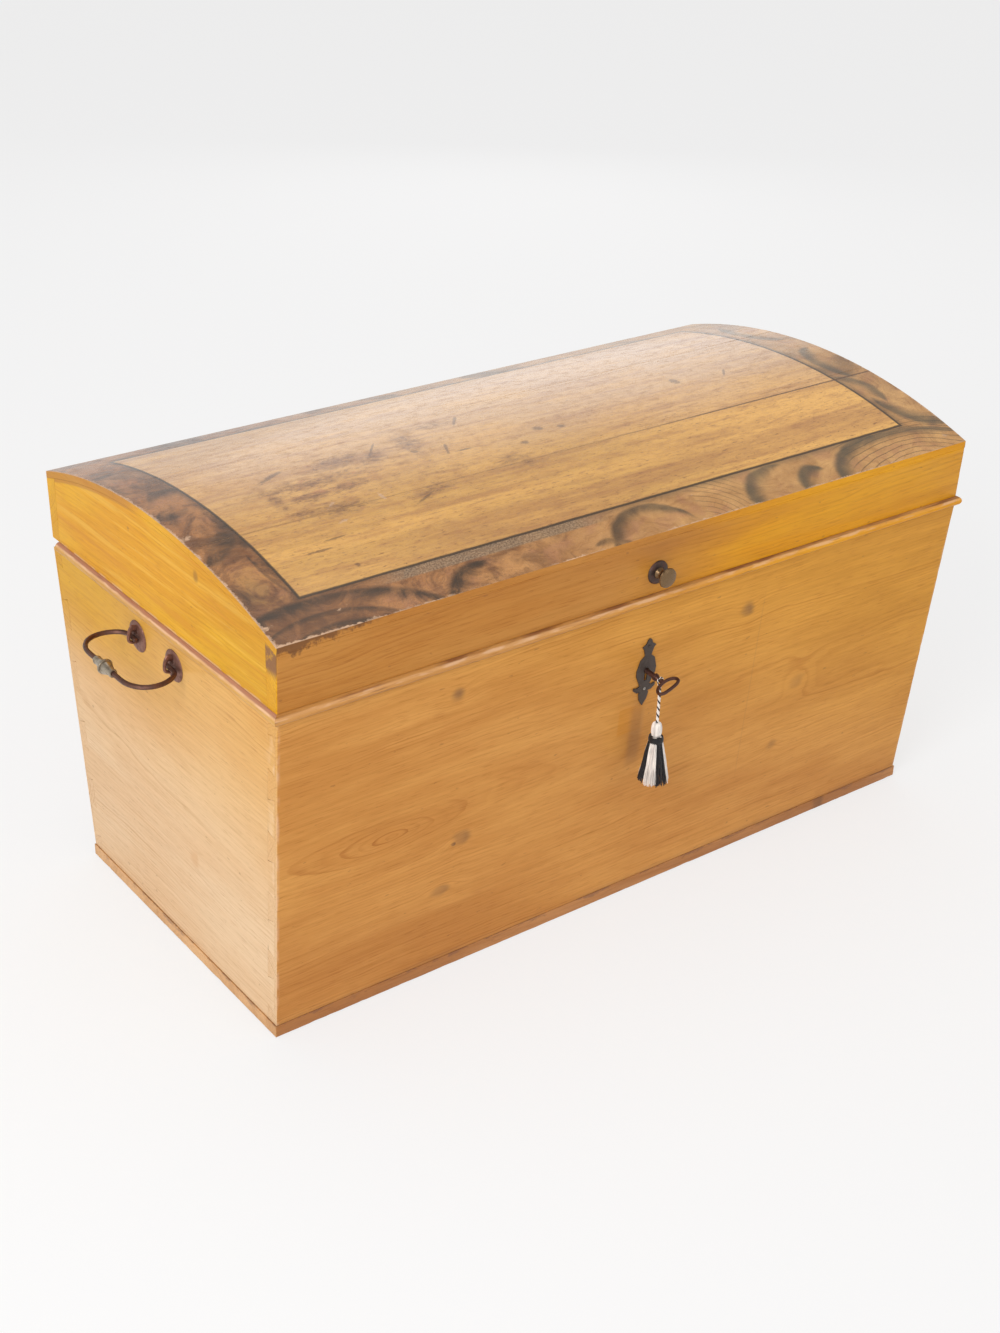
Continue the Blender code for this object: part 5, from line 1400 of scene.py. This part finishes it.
class TRUNK_OT_dome(bpy.types.Operator):
    """Finishes the three planks of the dome with grained paint and chipped edges"""

    bl_idname = "trunk.dome"
    bl_label = "Dome"

    def execute(self, context):
        sizes = context.scene.trunk_sizes
        finish = dome_finish(palette(context), sizes)
        edges = [bpy.data.materials[name] for name in ("lid_rail_pine", "lid_end_pine")]
        for which in ("front", "middle", "back"):
            node = "dome_plank_" + which
            bm = worn_copy(node, sizes.arris, sizes.chip_pitch * 0.7, sizes.free_edge, 1.8)
            for face in bm.faces:
                endways, frontways = (abs(part) > 0.95 for part in face.normal.xy)
                face.material_index = 1 if frontways else 2 if endways else 0
            stand_in(node + "_worn", bm, [finish, *edges], [node], 12)
        return {"FINISHED"}


# Metals
def old_metal(name, colour, bloom, metallic=0.85, roughness=0.42):
    """Aged metal: colour where it is rubbed, bloom where it has dulled."""
    f = Finish(name, Specular_IOR_Level=0.5)
    rust = f.noise((f.x, f.y, f.z), 160.0, 5, 0.65)
    fine = f.noise((f.x, f.y, f.z), 900.0, 3, 0.6)
    dull = f.step(rust, 0.40, 0.64)
    tint = f.mix(dull * 0.75, colour, bloom)
    tint = f.mix(f.step(fine, 0.56, 0.72) * 0.35, tint, shade(bloom, 0.5))
    rough = roughness + dull * 0.18 + fine * 0.10
    return f.done(tint, rough, rust * 0.6 + fine * 0.4, 0.0003, 0.35, metallic - dull * 0.25)


def finish_metal(node, metal, width=METAL_EDGE):
    """An aged metal copy of a CAD fitting."""
    stand_in(node + "_aged", eased_copy(node, width), [metal], [node], METAL_SHARP)


# Handle collar: radius and place along the grip, from its front end to its back end
COLLAR = (
    (0.0044, 0.0225),
    (0.0053, 0.0222),
    (0.0056, 0.0210),
    (0.0053, 0.0198),
    (0.0049, 0.0192),
    (0.0053, 0.0172),
    (0.0062, 0.0115),
    (0.0076, 0.0075),
    (0.0083, 0.0058),
    (0.0084, 0.0044),
    (0.0080, 0.0034),
    (0.0070, 0.0029),
    (0.0094, 0.0023),
    (0.0100, 0.0014),
    (0.0100, 0.0002),
    (0.0094, -0.0009),
    (0.0069, -0.0015),
    (0.0068, -0.0024),
    (0.0073, -0.0036),
    (0.0070, -0.0050),
    (0.0062, -0.0080),
    (0.0054, -0.0130),
    (0.0050, -0.0170),
    (0.0055, -0.0179),
    (0.0057, -0.0190),
    (0.0054, -0.0201),
    (0.0048, -0.0207),
    (0.0046, -0.0225),
)
COLLAR_BORE = 0.0035


class TRUNK_OT_handles(bpy.types.Operator):
    """Finishes the rosettes, eye staples and bails of both lifting handles, and turns their collars"""

    bl_idname = "trunk.handles"
    bl_label = "Handles"

    def execute(self, context):
        look = palette(context)
        iron = old_metal("handle_iron", look.iron, (0.155, 0.072, 0.052))
        grip = old_metal("bail_iron", shade(look.iron, 0.62), (0.082, 0.047, 0.039), 0.90, 0.32)
        pewter = old_metal("collar_metal", look.pewter, (0.160, 0.120, 0.085), 0.95, 0.24)
        bore = [(COLLAR_BORE, COLLAR[-1][1]), (COLLAR_BORE, COLLAR[0][1]), COLLAR[0]]
        for side in ("left", "right"):
            for which in ("front", "back"):
                plate, eye = f"{side}_{which}_rosette", f"{side}_{which}_eye_staple"
                finish_metal(plate, iron)
                bm = self.long_eye(eye, plate, side)
                stand_in(eye + "_aged", bm, [iron], [eye], METAL_SHARP)
            bail, collar = side + "_bail", side + "_collar"
            finish_metal(bail, grip)
            low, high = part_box(collar)
            place = Matrix.Translation((low + high) / 2) @ Matrix.Rotation(math.pi / 2, 4, "X")
            bm = turned([*COLLAR, *bore], place, 40)
            stand_in(collar + "_turned", bm, [pewter], [collar], METAL_SHARP)
        return {"FINISHED"}

    def long_eye(self, eye, plate, side):
        """An eye drawn out upwards in front of its rosette."""
        bm = eased_copy(eye, METAL_EDGE)
        axis = JOINT_AT[side + "_handle_swing"]
        face = max(abs(corner.x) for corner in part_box(plate))
        for vert in bm.verts:
            rise = vert.co.z - axis.z
            if rise > 0:
                vert.co.z += rise * 1.1 * min(1.0, max(0.0, (abs(vert.co.x) - face) / 0.004))
        return bm


class TRUNK_OT_knob(bpy.types.Operator):
    """Finishes the lid knob and its plate"""

    bl_idname = "trunk.knob"
    bl_label = "Knob"

    def execute(self, context):
        look = palette(context)
        brass = old_metal("knob_brass", look.brass, (0.20, 0.120, 0.055), 0.95, 0.22)
        plate = old_metal("knob_plate_iron", look.black_iron, (0.13, 0.062, 0.048))
        finish_metal("knob", brass)
        finish_metal("knob_backplate", plate)
        return {"FINISHED"}


class TRUNK_OT_lock(bpy.types.Operator):
    """Finishes the keyhole plate, its nails, the key and the lock inside"""

    bl_idname = "trunk.lock"
    bl_label = "Lock and Key"

    def execute(self, context):
        look = palette(context)
        black = old_metal("keyhole_iron", look.black_iron, (0.085, 0.065, 0.052), 0.55, 0.50)
        key = old_metal("key_iron", look.key_iron, (0.115, 0.048, 0.034))
        steel = old_metal("old_steel", look.steel, (0.22, 0.18, 0.14), 0.95, 0.32)
        for node, metal, slot in (
            ("escutcheon", black, "dark_iron"),
            ("escutcheon_top_nail", black, "steel"),
            ("escutcheon_bottom_nail", steel, "steel"),
            ("key", key, "key_iron"),
            ("lock_plate", black, "lock_iron"),
            ("lock_cover", black, "lock_iron"),
            ("lock_bolt", steel, "steel"),
            ("lid_staple", black, "lock_iron"),
        ):
            finish_metal(node, metal)
        for node in ("lock_screw_1", "lock_screw_2", "staple_screw_1", "staple_screw_2"):
            finish_metal(node, steel, SCREW_EDGE)
        return {"FINISHED"}


class TRUNK_OT_hinges(bpy.types.Operator):
    """Finishes the two hinges and their screws"""

    bl_idname = "trunk.hinges"
    bl_label = "Hinges"

    def execute(self, context):
        look = palette(context)
        steel = old_metal("hinge_steel", look.steel, (0.20, 0.15, 0.11), 0.95, 0.36)
        parts = ("base_leaf", "lid_leaf", "pin", "base_screw_1", "base_screw_2", "lid_screw_1", "lid_screw_2")
        for side in ("left", "right"):
            for part in parts:
                finish_metal(f"{side}_hinge_{part}", steel, SCREW_EDGE)
        return {"FINISHED"}


class TRUNK_PT_finishes(bpy.types.Panel):
    """The trunk's finishing steps, sizes and colours"""

    bl_idname = "TRUNK_PT_finishes"
    bl_label = "Dome Top Trunk"
    bl_space_type = "VIEW_3D"
    bl_region_type = "UI"
    bl_category = "Trunk"

    def draw(self, context):
        for step in STEPS:
            self.layout.operator(step.bl_idname)
        for group in (context.scene.trunk_sizes, context.scene.trunk_colours):
            for name in group.__annotations__:
                self.layout.prop(group, name)


STEPS = (
    TRUNK_OT_stage,
    TRUNK_OT_tassel,
    TRUNK_OT_carcass,
    TRUNK_OT_lip,
    TRUNK_OT_lid_box,
    TRUNK_OT_dome,
    TRUNK_OT_handles,
    TRUNK_OT_knob,
    TRUNK_OT_lock,
    TRUNK_OT_hinges,
)
CLASSES = (TrunkColours, TrunkSizes, *STEPS, TRUNK_PT_finishes)


def register():
    for item in CLASSES:
        bpy.utils.register_class(item)
    bpy.types.Scene.trunk_colours = PointerProperty(type=TrunkColours)
    bpy.types.Scene.trunk_sizes = PointerProperty(type=TrunkSizes)


def unregister():
    del bpy.types.Scene.trunk_sizes
    del bpy.types.Scene.trunk_colours
    for item in reversed(CLASSES):
        bpy.utils.unregister_class(item)


def main():
    register()
    for step in STEPS:
        group, name = step.bl_idname.split(".")
        getattr(getattr(bpy.ops, group), name)()


if __name__ == "__main__":
    main()
